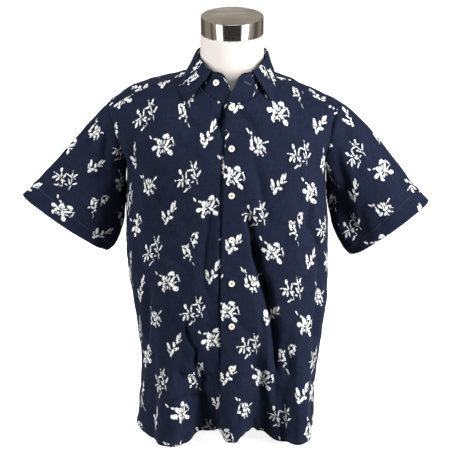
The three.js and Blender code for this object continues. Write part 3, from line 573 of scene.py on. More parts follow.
def flat_cut(s, p, face="front"):
    """Where places on the body's cloth lie on the flat piece."""
    a = np.clip(s / SPAN_STEP + SPAN_SIDE, 0, 2 * SPAN_SIDE - 0.001)
    b = np.clip(np.abs(p) / SPAN_ROW, 0, SPAN_DEPTH - 0.001)
    i, j = a.astype(int), b.astype(int)
    rows = SPANS[face]
    upper = lerp(rows[j, i], rows[j, i + 1], a - i)
    lower = lerp(rows[j + 1, i], rows[j + 1, i + 1], a - i)
    return np.stack([lerp(upper, lower, b - j), -np.abs(p)], axis=-1)


HEM_BAND, HEM_LAYERS, HEM_STITCH = 9, 0.7, 7.5  # the turned hem's height, extra rise and stitched line
CALM = 30  # creases die away this near to a seam


def hem_rise(p):
    """Extra height at the turned hem, from the distance left to each column's end."""
    left = np.abs(p[-1:] - p)
    return HEM_LAYERS * (1 - smooth(left, HEM_BAND - 1, HEM_BAND + 1))


def level_row(points, normals, left, height):
    """The places and normals on a sheet where `left`, which falls row by row, comes down to a height."""
    left = np.broadcast_to(left, points.shape[:2])
    row = np.clip((left > height).sum(axis=0) - 1, 0, len(left) - 2)
    column = np.arange(points.shape[1])
    upper, lower = left[row, column], left[row + 1, column]
    share = np.clip((upper - height) / np.maximum(upper - lower, 1e-6), 0, 1)[:, None]
    return tuple(lerp(grid[row, column], grid[row + 1, column], share) for grid in (points, normals))


# %% The two fronts
pieces, seams = {}, {}
for side in ("right", "left"):
    name = f"{side}_front"
    s, p = panel_places(front_columns(side), "front")
    out = lap_lift(s) if side == "left" else under_dip(s, p)
    points, normals = creased(s, p, out + hem_rise(p), calm=smooth(np.abs(p - p[:1]), 0, CALM))
    pieces[name] = cloth(name, points, normals, flat_cut(s, p))
    seams[name] = [level_row(points, normals, np.abs(p[-1:] - p), HEM_STITCH)]

# %% The back
right_half, left_half = back_columns("right"), back_columns("left")
columns = [np.concatenate([r[:0:-1], l]) for r, l in zip(right_half, left_half)]
s, p = panel_places(columns, "back")
points, normals = creased(s, p, hem_rise(p), calm=smooth(np.abs(p - p[:1]), 0, CALM))
pieces["back"] = cloth("back", points, normals, flat_cut(s, p, "back"))
seams["back"] = [level_row(points, normals, np.abs(p[-1:] - p), HEM_STITCH)]


# %% The yoke, over the shoulders
def yoke_columns(side):
    w = SIGN[side]
    steps = YOKE_NECK_STEPS + SHOULDER_STEPS
    bottom_s = w * np.linspace(0, SHOULDER[side] - BACK_SHOULDER, steps * FINE + 1)
    turns = np.linspace(0, yoke_neck_turn(side), YOKE_NECK_STEPS * FINE, endpoint=False)
    neck_s, neck_p = neckline(w * turns)
    edge = abs(neckline(np.array(yoke_neck_turn(side)))[0])
    shoulder = np.linspace(edge, SHOULDER[side], SHOULDER_STEPS * FINE + 1)
    top_s = np.concatenate([neck_s, w * shoulder])
    top_p = np.concatenate([neck_p, yoke_front(side, shoulder) - SEAM / 2])
    return top_s, top_p, bottom_s, yoke_back(bottom_s) + SEAM / 2


YOKE_ROWS = 8
right_half, left_half = yoke_columns("right"), yoke_columns("left")
top_s, top_p, bottom_s, bottom_p = (np.concatenate([r[:0:-1], l]) for r, l in zip(right_half, left_half))
share = np.linspace(0, 1, YOKE_ROWS * FINE * 2 + 1)[:, None]
s, p = lerp(bottom_s, top_s, share), lerp(bottom_p, top_p, share)
inside = np.minimum(share, 1 - share) * 2
points, normals = on_shirt(s, p, wave_height(s, p) * smooth(inside, 0, 0.4))
pieces["yoke"] = cloth("yoke", points, normals, np.stack([-s, -p], axis=-1))
# One row of stitches runs along the back seam, and one along each front seam as far as the collar.
stitched_rows = ((2, slice(8, -8)), (-3, slice(8, 26)), (-3, slice(-26, -8)))
seams["yoke"] = [(points[row, columns], normals[row, columns]) for row, columns in stitched_rows]

# %% [markdown]
# ## Sleeves
# A set-in sleeve is sewn round the armhole and hangs as a widening tube. Each point of the armhole
# runs along a curve of its own to the cuff, so the tube leaves the body's cloth as a seam does and
# ends in the cuff's own slanted oval. The last 30 mm are turned up inside and stitched.

# %% Creases of the sleeves: from and to as (degrees round from the top over the front, share along)
SLEEVE_ENDS = "a0 b0 a1 b1 bow high half lean"
SLEEVE_CREASES = {
    "right": table(SLEEVE_ENDS, """
        24 0.0 14 0.8 0 -5 9 0; 120 0.1 96 0.95 0 5 18 0; 250 0.1 262 0.9 0 -5 16 0
        180 0.0 178 0.8 0 2.5 30 0
    """),
    "left": table(SLEEVE_ENDS, """
        40 0.0 30 0.7 0 -4 10 0; 140 0.1 128 1.0 0 -9 16 0; 255 0.1 250 0.9 0 -5 16 0
        180 0.0 182 0.8 0 5 30 0
    """),
}
SLEEVE_WRINKLES = {
    "right": table(SLEEVE_ENDS, """
        38 0.02 58 0.42 4 -6 9 0.3; 62 0.02 96 0.5 6 -5.5 10 0.3; 70 0.45 60 0.98 -3 -3.5 10 0.3
        130 0.15 150 0.7 6 -5.5 12 0.3; 300 0.05 290 0.6 4 -5.5 12 0.3; 225 0.2 215 0.8 -5 -5.5 12 0.3
        330 0.1 340 0.5 4 -4 9 0.3; 84 0.6 110 0.92 4 3 14 0.2
    """),
    "left": table(SLEEVE_ENDS, """
        58 0.02 78 0.4 4 -5.5 9 0.3; 90 0.05 112 0.5 6 -5.5 10 0.3; 76 0.5 66 0.98 -5.5 3 14 0.3
        300 0.05 285 0.6 4 -5.5 12 0.3; 220 0.2 210 0.8 -5 -5.5 12 0.3; 336 0.1 346 0.5 4 -4 9 0.3
        100 0.55 120 0.95 5 -3.5 10 0.2
    """),
}


# %% A sleeve's rings
SLEEVE_RINGS = 76
CUFF_Y, ARMHOLE_TALL, ARMHOLE_DEEP, CUFF_CORNERS = -6, 75, 62, 1.15
ARMPIT_OUT, ARMPIT_DOWN, CUFF_DROP = 10, 58, 26
SLEEVE_WAVES = 1.1  # a sleeve's shallow waves are that much shorter round it
SLEEVE_LAYERS, SLEEVE_STITCH = 0.8, SLEEVE_HEM - 2  # the turned hem's extra rise, and its stitched line


def armhole_loop(side):
    """Points and normals of the body's armhole, from the armpit up the front, over and down the back."""
    top_s, top_p, bottom_s, bottom_p = (column[-1] for column in yoke_columns(side))
    share = np.linspace(1, 0, YOKE_ROWS * FINE + 1)[1:-1]
    places = [
        armhole(side, "front", np.linspace(1, 0, ARMHOLE_STEPS * FINE + 1)[1:]),
        (lerp(bottom_s, top_s, share), lerp(bottom_p, top_p, share)),
        armhole(side, "back", np.linspace(0, 1, ARMHOLE_STEPS * FINE + 1)),
    ]
    s, p = (np.concatenate(column) for column in zip(*places))
    return on_shirt(s, p)


def bezier(a, b, c, d, t):
    return (1 - t) ** 3 * a + 3 * (1 - t) ** 2 * t * b + 3 * (1 - t) * t * t * c + t ** 3 * d


def ring_normals(rings, flip):
    across = np.roll(rings, -1, axis=1) - np.roll(rings, 1, axis=1)
    along = np.gradient(rings, axis=0)
    normals = unit(np.cross(along, across))
    return -normals if flip else normals


def seam_normals(own, host):
    share = smooth((own * host).sum(axis=-1), 0.2, 0.8)[..., None]
    return unit(lerp(own, host, share))


def sleeve_fold(rows, degrees, v):
    """The big folds of a sleeve, which its solid has too."""
    lift = np.zeros(np.broadcast(degrees, v).shape)
    for a0, b0, a1, b1, high, half in zip(*(rows[k] for k in ("a0", "b0", "a1", "b1", "high", "half"))):
        share = np.clip((v - b0) / (b1 - b0), 0, 1)
        lift = lift + high * np.sin(share * math.pi) * bell(degrees - lerp(a0, a1, share), half)
    return lift


def sleeve(side):
    """Points and normals of a sleeve's rings, from the armhole to the cuff."""
    cuff, out = CUFFS[side], SIGN[side]
    loop, loop_normals = armhole_loop(side)
    middle = loop.mean(axis=0)
    tip = loop[loop[:, 2].argmax()]
    top, under_end = np.array(cuff["top"], float), np.array(cuff["under"], float)
    centre = np.array([(top[0] + under_end[0]) / 2, CUFF_Y, (top[1] + under_end[1]) / 2])
    across = np.array([(top[0] - under_end[0]) / 2, 0, (top[1] - under_end[1]) / 2])
    top_run = (np.array([top[0], 0, top[1]]) - tip) / 3
    start_from = loop - middle
    turn = np.arctan2(-start_from[:, 1] / ARMHOLE_DEEP, start_from @ unit(across) / ARMHOLE_TALL)
    cos, sin = np.cos(turn), np.sin(turn)
    under = ((1 - cos) / 2) ** 1.5
    end = centre + across * (np.sign(cos) * np.abs(cos) ** CUFF_CORNERS)[:, None]
    end[:, 1] -= cuff["half"] * sin
    chord = (np.roll(loop, -1, axis=0) - np.roll(loop, 1, axis=0)) * out
    away = unit(np.cross(chord, loop_normals))
    start = loop + away * SEAM * 1.5 + loop_normals * ((WALL + SEAM) * smooth(under, 0.1, 0.6))[:, None]
    leave = np.array([out * ARMPIT_OUT, 0, -ARMPIT_DOWN])
    crown = cuff["crown"] * (1 - under)
    hug = lerp(*cuff["hug"], smooth(-sin, -0.4, 0.4))
    first = start + lerp(top_run, leave, under[:, None])
    first = first + np.stack([out * crown, 0 * crown, crown], axis=-1)
    arrive = np.stack([out * hug, 0 * hug, 0 * hug - CUFF_DROP], axis=-1)
    second = end - lerp(top_run, arrive, under[:, None])
    v = np.linspace(0, 1, SLEEVE_RINGS + 1)
    rings = bezier(start, first, second, end, v[:, None, None])
    normals = ring_normals(rings, flip=side == "right")
    degrees = np.degrees(turn) % 360
    lift = sleeve_fold(SLEEVE_CREASES[side], degrees, v[:, None])
    place = np.broadcast_arrays(degrees, v[:, None] * SLEEVE_LENGTH)
    a0, b0, a1, b1, *rest = SLEEVE_WRINKLES[side].values()
    ends = (a0, b0 * SLEEVE_LENGTH, a1, b1 * SLEEVE_LENGTH)
    wrinkles = dict(zip(CREASE_COLUMNS.split(), (*ends, *rest)))
    calm = smooth(v, 0, 0.12)[:, None]
    waves = wave_height(place[0] * SLEEVE_WAVES, place[1])
    lift = lift + calm * (crease_height(wrinkles, *place) + waves)
    left = (1 - v[:, None]) * SLEEVE_LENGTH
    lift = lift + SLEEVE_LAYERS * (1 - smooth(left, SLEEVE_HEM - 1.5, SLEEVE_HEM + 1.5))
    points = rings + normals * lift[..., None]
    normals[0] = seam_normals(normals[0], loop_normals)
    return points, normals


def sleeve_cut(points, side):
    """The flat piece of a sleeve: distance round each ring from its top, and up from the cuff."""
    closed = np.concatenate([points, points[:, :1]], axis=1)
    steps = np.linalg.norm(np.diff(closed, axis=1), axis=-1)
    around = np.concatenate([np.zeros((len(points), 1)), np.cumsum(steps, axis=1)], axis=1)
    lengths = np.linalg.norm(np.diff(closed, axis=0), axis=-1)
    up = np.concatenate([np.cumsum(lengths[::-1], axis=0)[::-1], np.zeros((1, lengths.shape[1]))])
    across = (around - around[:, SLEEVE_TOP:SLEEVE_TOP + 1]) * SIGN[side]
    return np.stack([across, up], axis=-1)


# %% The two sleeves
SLEEVE_TOP = (ARMHOLE_STEPS + YOKE_ROWS // 2) * FINE
for side in ("right", "left"):
    name = f"{side}_sleeve"
    points, normals = sleeve(side)
    pieces[name] = cloth(name, points, normals, sleeve_cut(points, side), ring=True)
    left = (1 - np.linspace(0, 1, SLEEVE_RINGS + 1)[:, None]) * SLEEVE_LENGTH
    cuff_line = level_row(points, normals, left, SLEEVE_STITCH)
    seams[name] = [tuple(np.concatenate([line, line[:1]]) for line in cuff_line)]

# %% [markdown]
# ## Collar
# The collar has two parts: a stiff band that stands up round the neck, with round ends that button
# together, and the collar itself, which rolls over the band's upper edge and falls to its points.


# %% The collar stand
def edge_at(rows, turn, middle):
    key = np.abs(turn)
    x = read(rows, "turn", "x", key)
    if "left_x" in rows:
        x = np.where(turn > 0, read(rows, "turn", "left_x", key), x)
    x = middle + np.sign(turn) * x
    return np.stack([x, read(rows, "turn", "y", key), read(rows, "turn", "z", key)], axis=-1)


def stand_points(turn, share):
    """Points of the stand: share 0 at the neck seam, 1 at the upper edge."""
    turn, share = np.broadcast_arrays(np.asarray(turn, float), np.asarray(share, float))
    s, p = neckline(turn)
    lift = np.where(turn > 0, (STIFF_WALL + 2 * SEAM) * (1 - smooth(s, LAP, LAP * 2.5)), 0)
    foot, _ = on_shirt(s, p, lift)
    top = edge_at(STAND_TOP, turn, NECK_X)
    top[..., 1] -= lift
    rise = top - foot
    from_end = np.radians(180 + LAP_TURN - np.abs(turn)) * NECK_HALF
    corner = np.maximum(0, STAND_ROUND - from_end)
    cut = STAND_ROUND - np.sqrt(STAND_ROUND ** 2 - corner ** 2)
    height = np.linalg.norm(rise, axis=-1)
    return foot + rise * ((lerp(2 * SEAM, height, share) - cut * share) / height)[..., None]


def sheet_normals(points, flip=False):
    normals = unit(np.cross(np.gradient(points, axis=0), np.gradient(points, axis=1)))
    return -normals if flip else normals


def along_cut(points):
    """The flat piece of a sheet: distance along its middle row, and up each column."""
    middle = points[len(points) // 2]
    u = np.concatenate([[0], np.cumsum(np.linalg.norm(np.diff(middle, axis=0), axis=-1))])
    steps = np.linalg.norm(np.diff(points, axis=0), axis=-1)
    v = np.concatenate([np.zeros((1, points.shape[1])), np.cumsum(steps, axis=0)])
    return np.stack([np.broadcast_to(u, v.shape), v], axis=-1)


def stand_turns(side):
    end = 180 + LAP_TURN
    turns = np.concatenate([
        np.linspace(0, yoke_neck_turn(side), YOKE_NECK_STEPS * FINE, endpoint=False),
        np.linspace(yoke_neck_turn(side), 180 - LAP_TURN, NECK_STEPS * FINE, endpoint=False),
        np.linspace(180 - LAP_TURN, end, LAP_COLUMNS * FINE * 2 + 1),
    ])
    return SIGN[side] * turns


def rim_row(points, normals, row, in_from_end, up_to):
    """A path near a sheet's edge: down one end from row `up_to`, along `row`, and up the other end."""
    rows = slice(up_to, row % len(points))
    parts = []
    for grid in (points, normals):
        down, back = grid[rows, in_from_end], grid[rows, -1 - in_from_end][::-1]
        parts.append(np.concatenate([down, grid[row, in_from_end:-in_from_end], back]))
    return tuple(parts)


STAND_ROWS = 17
turns = np.concatenate([stand_turns("right")[:0:-1], stand_turns("left")])
points = stand_points(turns[None, :], np.linspace(0, 1, STAND_ROWS)[:, None])
normals = sheet_normals(points)
pieces["collar_stand"] = cloth("collar_stand", points, normals, along_cut(points), STIFF_WALL)
seams["collar_stand"] = [rim_row(points, normals, row=14, in_from_end=2, up_to=2)]

# %% The collar
COLLAR_CLEAR, COLLAR_ABOVE, COLLAR_ROLL, COLLAR_TURN = STIFF_WALL + 0.4, 2.5, 6.5, 1.5
side_share = np.linspace(-1, 1, 181)
top = stand_points(side_share * COLLAR_FOLD_END, np.ones_like(side_share))
edge = edge_at(COLLAR_EDGE, side_share * COLLAR_POINT, 0)
out = top - np.array([NECK_X, 0, 0])
out[:, 2] = 0
out = unit(out)
start = top + out * COLLAR_CLEAR + np.array([0, 0, COLLAR_ABOVE])
over = top + out * COLLAR_ROLL
t = np.linspace(0, 1, 37)[:, None, None]
fall = (1 - t) ** 2 * start + 2 * (1 - t) * t * over + t * t * edge
angle = np.linspace(-QUARTER * 1.3, QUARTER * 0.9, 7)[:-1, None, None]
turned = out * (np.sin(angle) - 1) + np.array([0, 0, 1]) * (np.cos(angle) - 1)
roll = start + turned * COLLAR_TURN
points = np.concatenate([roll, fall])
normals = sheet_normals(points, flip=True)
pieces["collar"] = cloth("collar", points, normals, along_cut(points), STIFF_WALL * 0.9)
seams["collar"] = [rim_row(points, normals, row=-6, in_from_end=3, up_to=12)]

# %% [markdown]
# ## The dress form
# A torso form is cast as a smooth shell with no limbs. One ring is enough to start: it is extruded
# upward a step at a time and each new ring is scaled to the form's width and depth there.


# %% The torso, from one ring extruded upward
def ring_size(z):
    return [float(read(FORM, "z", name, z)) for name in ("half", "depth", "middle")]


TILT, TILT_FROM = math.radians(4.5), 740
CHEST_TOP, NECK_FROM, FORM_TOP = 640, 720, FORM["z"][-1]
LOW_STEP, HIGH_STEP, RING_SIDES = 16, 6, 96
COVER = 0.8  # the torso stays this much inside the sizes of its solid's corners


def torso_ring(z):
    half, depth, middle = ring_size(z)
    across = lerp(CENTRE, NECK_X, float(smooth(z, CHEST_TOP, NECK_FROM)))
    return half - COVER, depth - COVER, np.array([across, middle, z])


def shape_ring(vertices, z):
    """Moves a ring of the mesh to its place on the torso."""
    half, depth, centre = torso_ring(z)
    tilt = math.tan(TILT) * float(smooth(z, TILT_FROM, FORM_TOP))
    for vertex in vertices:
        angle = math.atan2(vertex.co.y, vertex.co.x)
        x, y = half * math.cos(angle), depth * math.sin(angle)
        vertex.co = (centre[0] + x, centre[1] + y, z + (centre[1] + y) * tilt)


def lofted(name, heights, sides):
    """A tube through rings at those heights, made by extruding a circle, with its ends filled."""
    bpy.ops.mesh.primitive_circle_add(vertices=sides, radius=1, fill_type="NOTHING")
    thing = bpy.context.object
    thing.name = thing.data.name = name
    bpy.ops.object.mode_set(mode="EDIT")
    for _ in heights[1:]:
        bpy.ops.mesh.extrude_region_move(TRANSFORM_OT_translate={"value": (0, 0, 1)})
    bpy.ops.object.mode_set(mode="OBJECT")
    vertices = sorted(thing.data.vertices, key=lambda vertex: round(vertex.co.z))
    for k, z in enumerate(heights):
        shape_ring(vertices[k * sides:(k + 1) * sides], z)
    bpy.ops.object.mode_set(mode="EDIT")
    bpy.ops.mesh.select_all(action="DESELECT")
    bpy.ops.mesh.select_non_manifold()
    bpy.ops.mesh.fill_holes(sides=0)
    bpy.ops.mesh.select_all(action="SELECT")
    bpy.ops.mesh.normals_make_consistent(inside=False)
    bpy.ops.object.mode_set(mode="OBJECT")
    return thing


def settle(thing, angle=40):
    """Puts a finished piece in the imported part's frame, in metres, with smooth faces between edges."""
    for vertex in thing.data.vertices:
        vertex.co = [(c + s) / 1000 for c, s in zip(vertex.co, SHIFT)]
    keep_only(thing)
    bpy.ops.object.shade_smooth_by_angle(angle=math.radians(angle))
    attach(thing, "root")


def bevel_sharp(thing, offset, segments, over=50):
    """Rounds the edges where faces meet at more than `over` degrees."""
    keep_only(thing)
    bpy.ops.object.mode_set(mode="EDIT")
    bpy.ops.mesh.select_mode(type="EDGE")
    bpy.ops.mesh.select_all(action="DESELECT")
    bpy.ops.mesh.edges_select_sharp(sharpness=math.radians(over))
    bpy.ops.mesh.bevel(offset=offset, segments=segments)
    bpy.ops.object.mode_set(mode="OBJECT")


heights = [*range(0, CHEST_TOP, LOW_STEP), *range(CHEST_TOP, int(FORM_TOP), HIGH_STEP), FORM_TOP]
torso = lofted("torso", heights, RING_SIDES)
bevel_sharp(torso, 1.2, 3)
settle(torso)
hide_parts("dress_form")
print("torso:", len(torso.data.polygons), "faces")

# %% The neck cap
# A spun metal cup closes the neck: its wall is straight, its top edge turned over a small radius.
CAP_RADIUS, CAP_HEIGHT, CAP_TOP = 59, 34, 832
bpy.ops.mesh.primitive_cylinder_add(vertices=160, radius=CAP_RADIUS, depth=CAP_HEIGHT, location=(0, 0, 0))
cap = bpy.context.object
cap.name = cap.data.name = "neck_cap_metal"
bevel_sharp(cap, 1.6, 5)
for vertex in cap.data.vertices:
    x, y, z = vertex.co
    z += CAP_HEIGHT / 2
    vertex.co = (
        NECK_X + x,
        y * math.cos(TILT) - z * math.sin(TILT),
        CAP_TOP - CAP_HEIGHT + z * math.cos(TILT) + y * math.sin(TILT),
    )
settle(cap)
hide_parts("neck_cap")
print("neck cap:", len(cap.data.polygons), "faces")

# %% [markdown]
# ## Buttons
# Each is a small turned disc with a raised rim and four holes, sewn on through them. One is modelled
# and the others are copies with their own mesh, turned to the cloth where they sit.

# %% One button
BUTTON_RADIUS, BUTTON_HEIGHT = 5.7, 2.2
BUTTON_RIM, BUTTON_SLOPE, BUTTON_DISH = 1.7, 0.7, 0.8
HOLE_OUT, HOLE_RADIUS = 1.3, 0.7
THREAD_RADIUS, THREAD_FLAT = 0.5, 0.55
SHANK_RADIUS, SHANK_LENGTH, SHANK_DROP = 1.5, 1.4, 1.2
bpy.ops.mesh.primitive_cylinder_add(
    vertices=48, radius=BUTTON_RADIUS, depth=BUTTON_HEIGHT, location=(0, 0, 0),
)
button_model = bpy.context.object
bpy.ops.object.mode_set(mode="EDIT")
bpy.ops.mesh.select_mode(type="FACE")
bpy.ops.mesh.select_all(action="DESELECT")
bpy.ops.object.mode_set(mode="OBJECT")
for face in button_model.data.polygons:
    face.select = face.normal.z > 0.9
bpy.ops.object.mode_set(mode="EDIT")
bpy.ops.mesh.inset(thickness=BUTTON_RIM)
bpy.ops.mesh.inset(thickness=BUTTON_SLOPE, depth=-BUTTON_DISH)
bpy.ops.object.mode_set(mode="OBJECT")
bevel_sharp(button_model, 0.35, 3, over=40)
for x in (-HOLE_OUT, HOLE_OUT):
    for y in (-HOLE_OUT, HOLE_OUT):
        bpy.ops.mesh.primitive_cylinder_add(vertices=16, radius=HOLE_RADIUS, depth=6, location=(x, y, 0))
        drill = bpy.context.object
        apply_modifier(button_model, "BOOLEAN", object=drill, operation="DIFFERENCE", solver="EXACT")
        bpy.data.objects.remove(drill)


def threads():
    """The dark thread of a button: two crossed loops over its holes and a wound shank below."""
    made = []
    for angle in (45, 135):
        bpy.ops.mesh.primitive_torus_add(
            major_segments=28, minor_segments=8,
            major_radius=HOLE_OUT * math.sqrt(2) + 0.1, minor_radius=THREAD_RADIUS,
            location=(0, 0, 0), rotation=(QUARTER, 0, math.radians(angle)),
        )
        loop = bpy.context.object
        for vertex in loop.data.vertices:
            vertex.co.y *= THREAD_FLAT
        made.append(loop)
    bpy.ops.mesh.primitive_cylinder_add(
        vertices=20, radius=SHANK_RADIUS, depth=SHANK_LENGTH, location=(0, 0, -SHANK_DROP),
    )
    made.append(bpy.context.object)
    keep_only(*made)
    bpy.ops.object.transform_apply(location=True, rotation=True, scale=True)
    bpy.ops.object.join()
    return bpy.context.object


thread_model = threads()


def placed_copy(model, name, at, normal, rise):
    """A copy of a model with its own mesh, its +Z turned to the normal."""
    copy = bpy.data.objects.new(name, model.data.copy())
    copy.data.name = name
    bpy.context.scene.collection.objects.link(copy)
    turn = Vector((0, 0, 1)).rotation_difference(Vector(normal)).to_matrix().to_4x4()
    copy.data.transform(turn)
    for vertex in copy.data.vertices:
        vertex.co = Vector(vertex.co) + Vector(at + normal * rise)
    settle(copy, angle=30)
    return copy


# %% All the buttons
BUTTON_TURN, BUTTON_SHARE, BUTTON_RISE = -164, 0.62, 2 * SEAM + BUTTON_HEIGHT / 2


def on_placket(z):
    """A place in the middle of the placket at height z, and the cloth's normal there."""
    here = np.array([0.0])
    at, normal = on_shirt(here, down_to(here, z), lap_lift(here))
    return at[0], normal[0]


def on_stand(turn):
    """A place on the collar's stand at a turn round the neck, and the normal there."""
    near = stand_points(turn + np.array([-2.0, 2.0]), BUTTON_SHARE)
    up = stand_points(np.array([turn, turn]), np.array([0.5, 0.75]))
    normal = unit(np.cross(near[0] - near[1], up[1] - up[0]))
    return stand_points(np.array([turn]), BUTTON_SHARE)[0], normal


def sew_on(part, number, at, normal):
    """Sets a button and its thread on the cloth."""
    buttons.append(placed_copy(button_model, f"{part}_button{number}", at, normal, BUTTON_RISE))
    button_threads.append(placed_copy(thread_model, f"{part}_thread{number}", at, normal, BUTTON_RISE))


button_heights = [LOWEST_BUTTON + i * BUTTON_STEP for i in range(BUTTONS_UP)] + [TOP_BUTTON]
buttons, button_threads = [], []
for k, z in enumerate(button_heights):
    sew_on("front", f"_{k + 1}", *on_placket(z))
    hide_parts(f"button_{k + 1}")
sew_on("collar", "", *on_stand(BUTTON_TURN))
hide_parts("stand_button")
for model in (button_model, thread_model):
    bpy.data.objects.remove(model)
print("buttons:", len(buttons))


# %% [markdown]
# ## Stitching
# The seams are topstitched in thread of the cloth's own navy: round the collar and its band, along
# the yoke, and where the hems are turned up. A stitch is a small spindle with its tips in the cloth.
# A buttonhole is a long ring of the same thread.

# %% Rows of stitches
STITCH, STITCH_GAP, STITCH_HALF = 2.6, 1.0, 0.34
STITCH_BODY, STITCH_UP = 0.27, 0.35  # the thick part's half length, and the rise, as shares


def stitched(name, rows):
    """All the stitches of one piece, as one mesh."""
    places, faces = [], []
    for path, normals in rows:
        steps = np.linalg.norm(np.diff(path, axis=0), axis=-1)
        along = np.concatenate([[0], np.cumsum(steps)])
        at = np.arange(STITCH, along[-1] - STITCH, STITCH + STITCH_GAP)
        middle, up, ahead = (
            np.stack([np.interp(at + shift, along, grid[:, axis]) for axis in range(3)], axis=-1)
            for grid, shift in ((path, 0), (normals, 0), (path, 0.5))
        )
        ahead, up = unit(ahead - middle), unit(up)
        aside = np.cross(ahead, up)
        middle = middle + up * STITCH_HALF * STITCH_UP
        for k in range(len(at)):
            first = len(places)
            for share in (-STITCH_BODY, STITCH_BODY):
                for across, rise in ((1, 0), (0, 1), (-1, 0), (0, -1)):
                    offset = ahead[k] * STITCH * share + (aside[k] * across + up[k] * rise) * STITCH_HALF
                    places.append(middle[k] + offset)
            for share in (-0.5, 0.5):
                places.append(middle[k] + ahead[k] * STITCH * share - up[k] * STITCH_HALF)
            for i in range(4):
                j = (i + 1) % 4
                faces.append((first + i, first + j, first + 4 + j, first + 4 + i))
                faces.append((first + j, first + i, first + 8))
                faces.append((first + 4 + i, first + 4 + j, first + 9))
    mesh = bpy.data.meshes.new(name)
    mesh.from_pydata(((np.array(places) + SHIFT) / 1000).tolist(), [], faces)
    mesh.shade_smooth()
    thing = bpy.data.objects.new(name, mesh)
    bpy.context.scene.collection.objects.link(thing)
    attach(thing, "root")
    return thing


stitching = [stitched(f"{name}_stitching", rows) for name, rows in seams.items()]
print("stitches:", sum(len(thing.data.vertices) // 10 for thing in stitching))

# %% Buttonholes
# A ring of thread is drawn apart into a long loop and pressed a little flat.
HOLE_RING, HOLE_THREAD, HOLE_STRETCH, HOLE_FLAT, HOLE_RISE = 1.0, 0.55, 5.9, 0.7, 0.1
bpy.ops.mesh.primitive_torus_add(
    major_segments=36, minor_segments=8, major_radius=HOLE_RING, minor_radius=HOLE_THREAD,
    location=(0, 0, 0),
)
hole_model = bpy.context.object
for vertex in hole_model.data.vertices:
    x, y, z = vertex.co
    vertex.co = (x, y + math.copysign(HOLE_STRETCH, y) * min(1, abs(y) * 3), z * HOLE_FLAT)
buttonholes = [
    placed_copy(hole_model, f"buttonhole_{k + 1}", *on_placket(z), HOLE_RISE)
    for k, z in enumerate(button_heights)
]
# The stand's own buttonhole lies along it.
for vertex in hole_model.data.vertices:
    vertex.co = (vertex.co.y, vertex.co.x, vertex.co.z)
hole_model.data.flip_normals()
buttonholes.append(placed_copy(hole_model, "collar_buttonhole", *on_stand(-BUTTON_TURN), HOLE_RISE))
bpy.data.objects.remove(hole_model)

# %% [markdown]
# ## Finishes
# The cloth is a navy chambray: a plain weave whose yarns vary in thickness, printed in white with
# small sprigs of flowers. Both follow the UV map, which counts along the grain of each piece.


# %% Helpers for node groups
def new_group(name, inputs, outputs):
    """A shader node group with named sockets; inputs and outputs are (name, kind, default)."""
    group = bpy.data.node_groups.new(name, "ShaderNodeTree")
    for in_out, sockets in (("INPUT", inputs), ("OUTPUT", outputs)):
        for socket_name, kind, default in sockets:
            socket = group.interface.new_socket(
                name=socket_name, in_out=in_out, socket_type=f"NodeSocket{kind}",
            )
            if default is not None:
                socket.default_value = default
    return group, group.nodes.new("NodeGroupInput"), group.nodes.new("NodeGroupOutput")


def add_node(tree, kind, inputs=None, **settings):
    """Adds a node; each input is a value, or another node's output socket to link from."""
    node = tree.nodes.new(f"ShaderNode{kind}")
    for name, value in settings.items():
        setattr(node, name, value)
    for key, value in (inputs or {}).items():
        socket = node.inputs[key]
        if isinstance(value, bpy.types.NodeSocket):
            tree.links.new(value, socket)
        else:
            socket.default_value = value
    return node


def maths(tree, operation, *values):
    node = add_node(tree, "Math", dict(enumerate(values)), operation=operation)
    return node.outputs[0]


def vectors(tree, operation, *values):
    node = add_node(tree, "VectorMath", dict(enumerate(values)), operation=operation)
    return node.outputs["Value" if operation == "LENGTH" else "Vector"]


def ramp(tree, value, low, high, to_low=0.0, to_high=1.0):
    inputs = {"Value": value, "From Min": low, "From Max": high, "To Min": to_low, "To Max": to_high}
    return add_node(tree, "MapRange", inputs, clamp=True).outputs[0]


def noise(tree, vector, scale, detail=2.0, roughness=0.5, output="Fac"):
    inputs = {"Vector": vector, "Scale": scale, "Detail": detail, "Roughness": roughness}
    return add_node(tree, "TexNoise", inputs).outputs[output]


# %% [markdown]
# A sprig is painted in strokes, each a soft-edged ellipse. A stroke is painted over those before it
# with a thin unprinted line round it, which is how the petals of such a print stay apart. A stroke
# without ink leaves the navy bare, for the slits and specks inside a petal. The place on the cloth
# goes from stroke to stroke with the ink laid so far in its Z.

# %% One stroke of the print
STROKE_SOFT, STROKE_LINE, STROKE_LENGTH, STROKE_WIDTH = 0.18, 0.75, 0.97, 0.86
stroke_group, taken, given = new_group(
    "print_stroke",
    [("Painted", "Vector", None), ("Middle", "Vector", None), ("Turn", "Vector", None),
     ("Half Size", "Vector", None), ("Line", "Float", 0.5), ("Ink", "Float", 1.0)],
    [("Painted", "Vector", None)],
)
tree = stroke_group
painted = taken.outputs["Painted"]
local = add_node(tree, "Mapping", {
    "Vector": painted, "Location": taken.outputs["Middle"], "Rotation": taken.outputs["Turn"],
    "Scale": taken.outputs["Half Size"],
}, vector_type="TEXTURE")
reach = vectors(tree, "LENGTH", vectors(tree, "MULTIPLY", local.outputs[0], (1, 1, 0)))
narrow = add_node(tree, "SeparateXYZ", {0: taken.outputs["Half Size"]}).outputs["Y"]
soft = maths(tree, "DIVIDE", STROKE_SOFT, narrow)
inside = ramp(tree, reach, maths(tree, "ADD", 1.0, soft), maths(tree, "SUBTRACT", 1.0, soft))
inside = maths(tree, "MULTIPLY", inside, taken.outputs["Ink"])
line = maths(tree, "DIVIDE", taken.outputs["Line"], narrow)
line_edge = maths(tree, "ADD", 1.0, line)
keep = ramp(tree, reach, line_edge, maths(tree, "ADD", 1.0, maths(tree, "ADD", line, soft)))
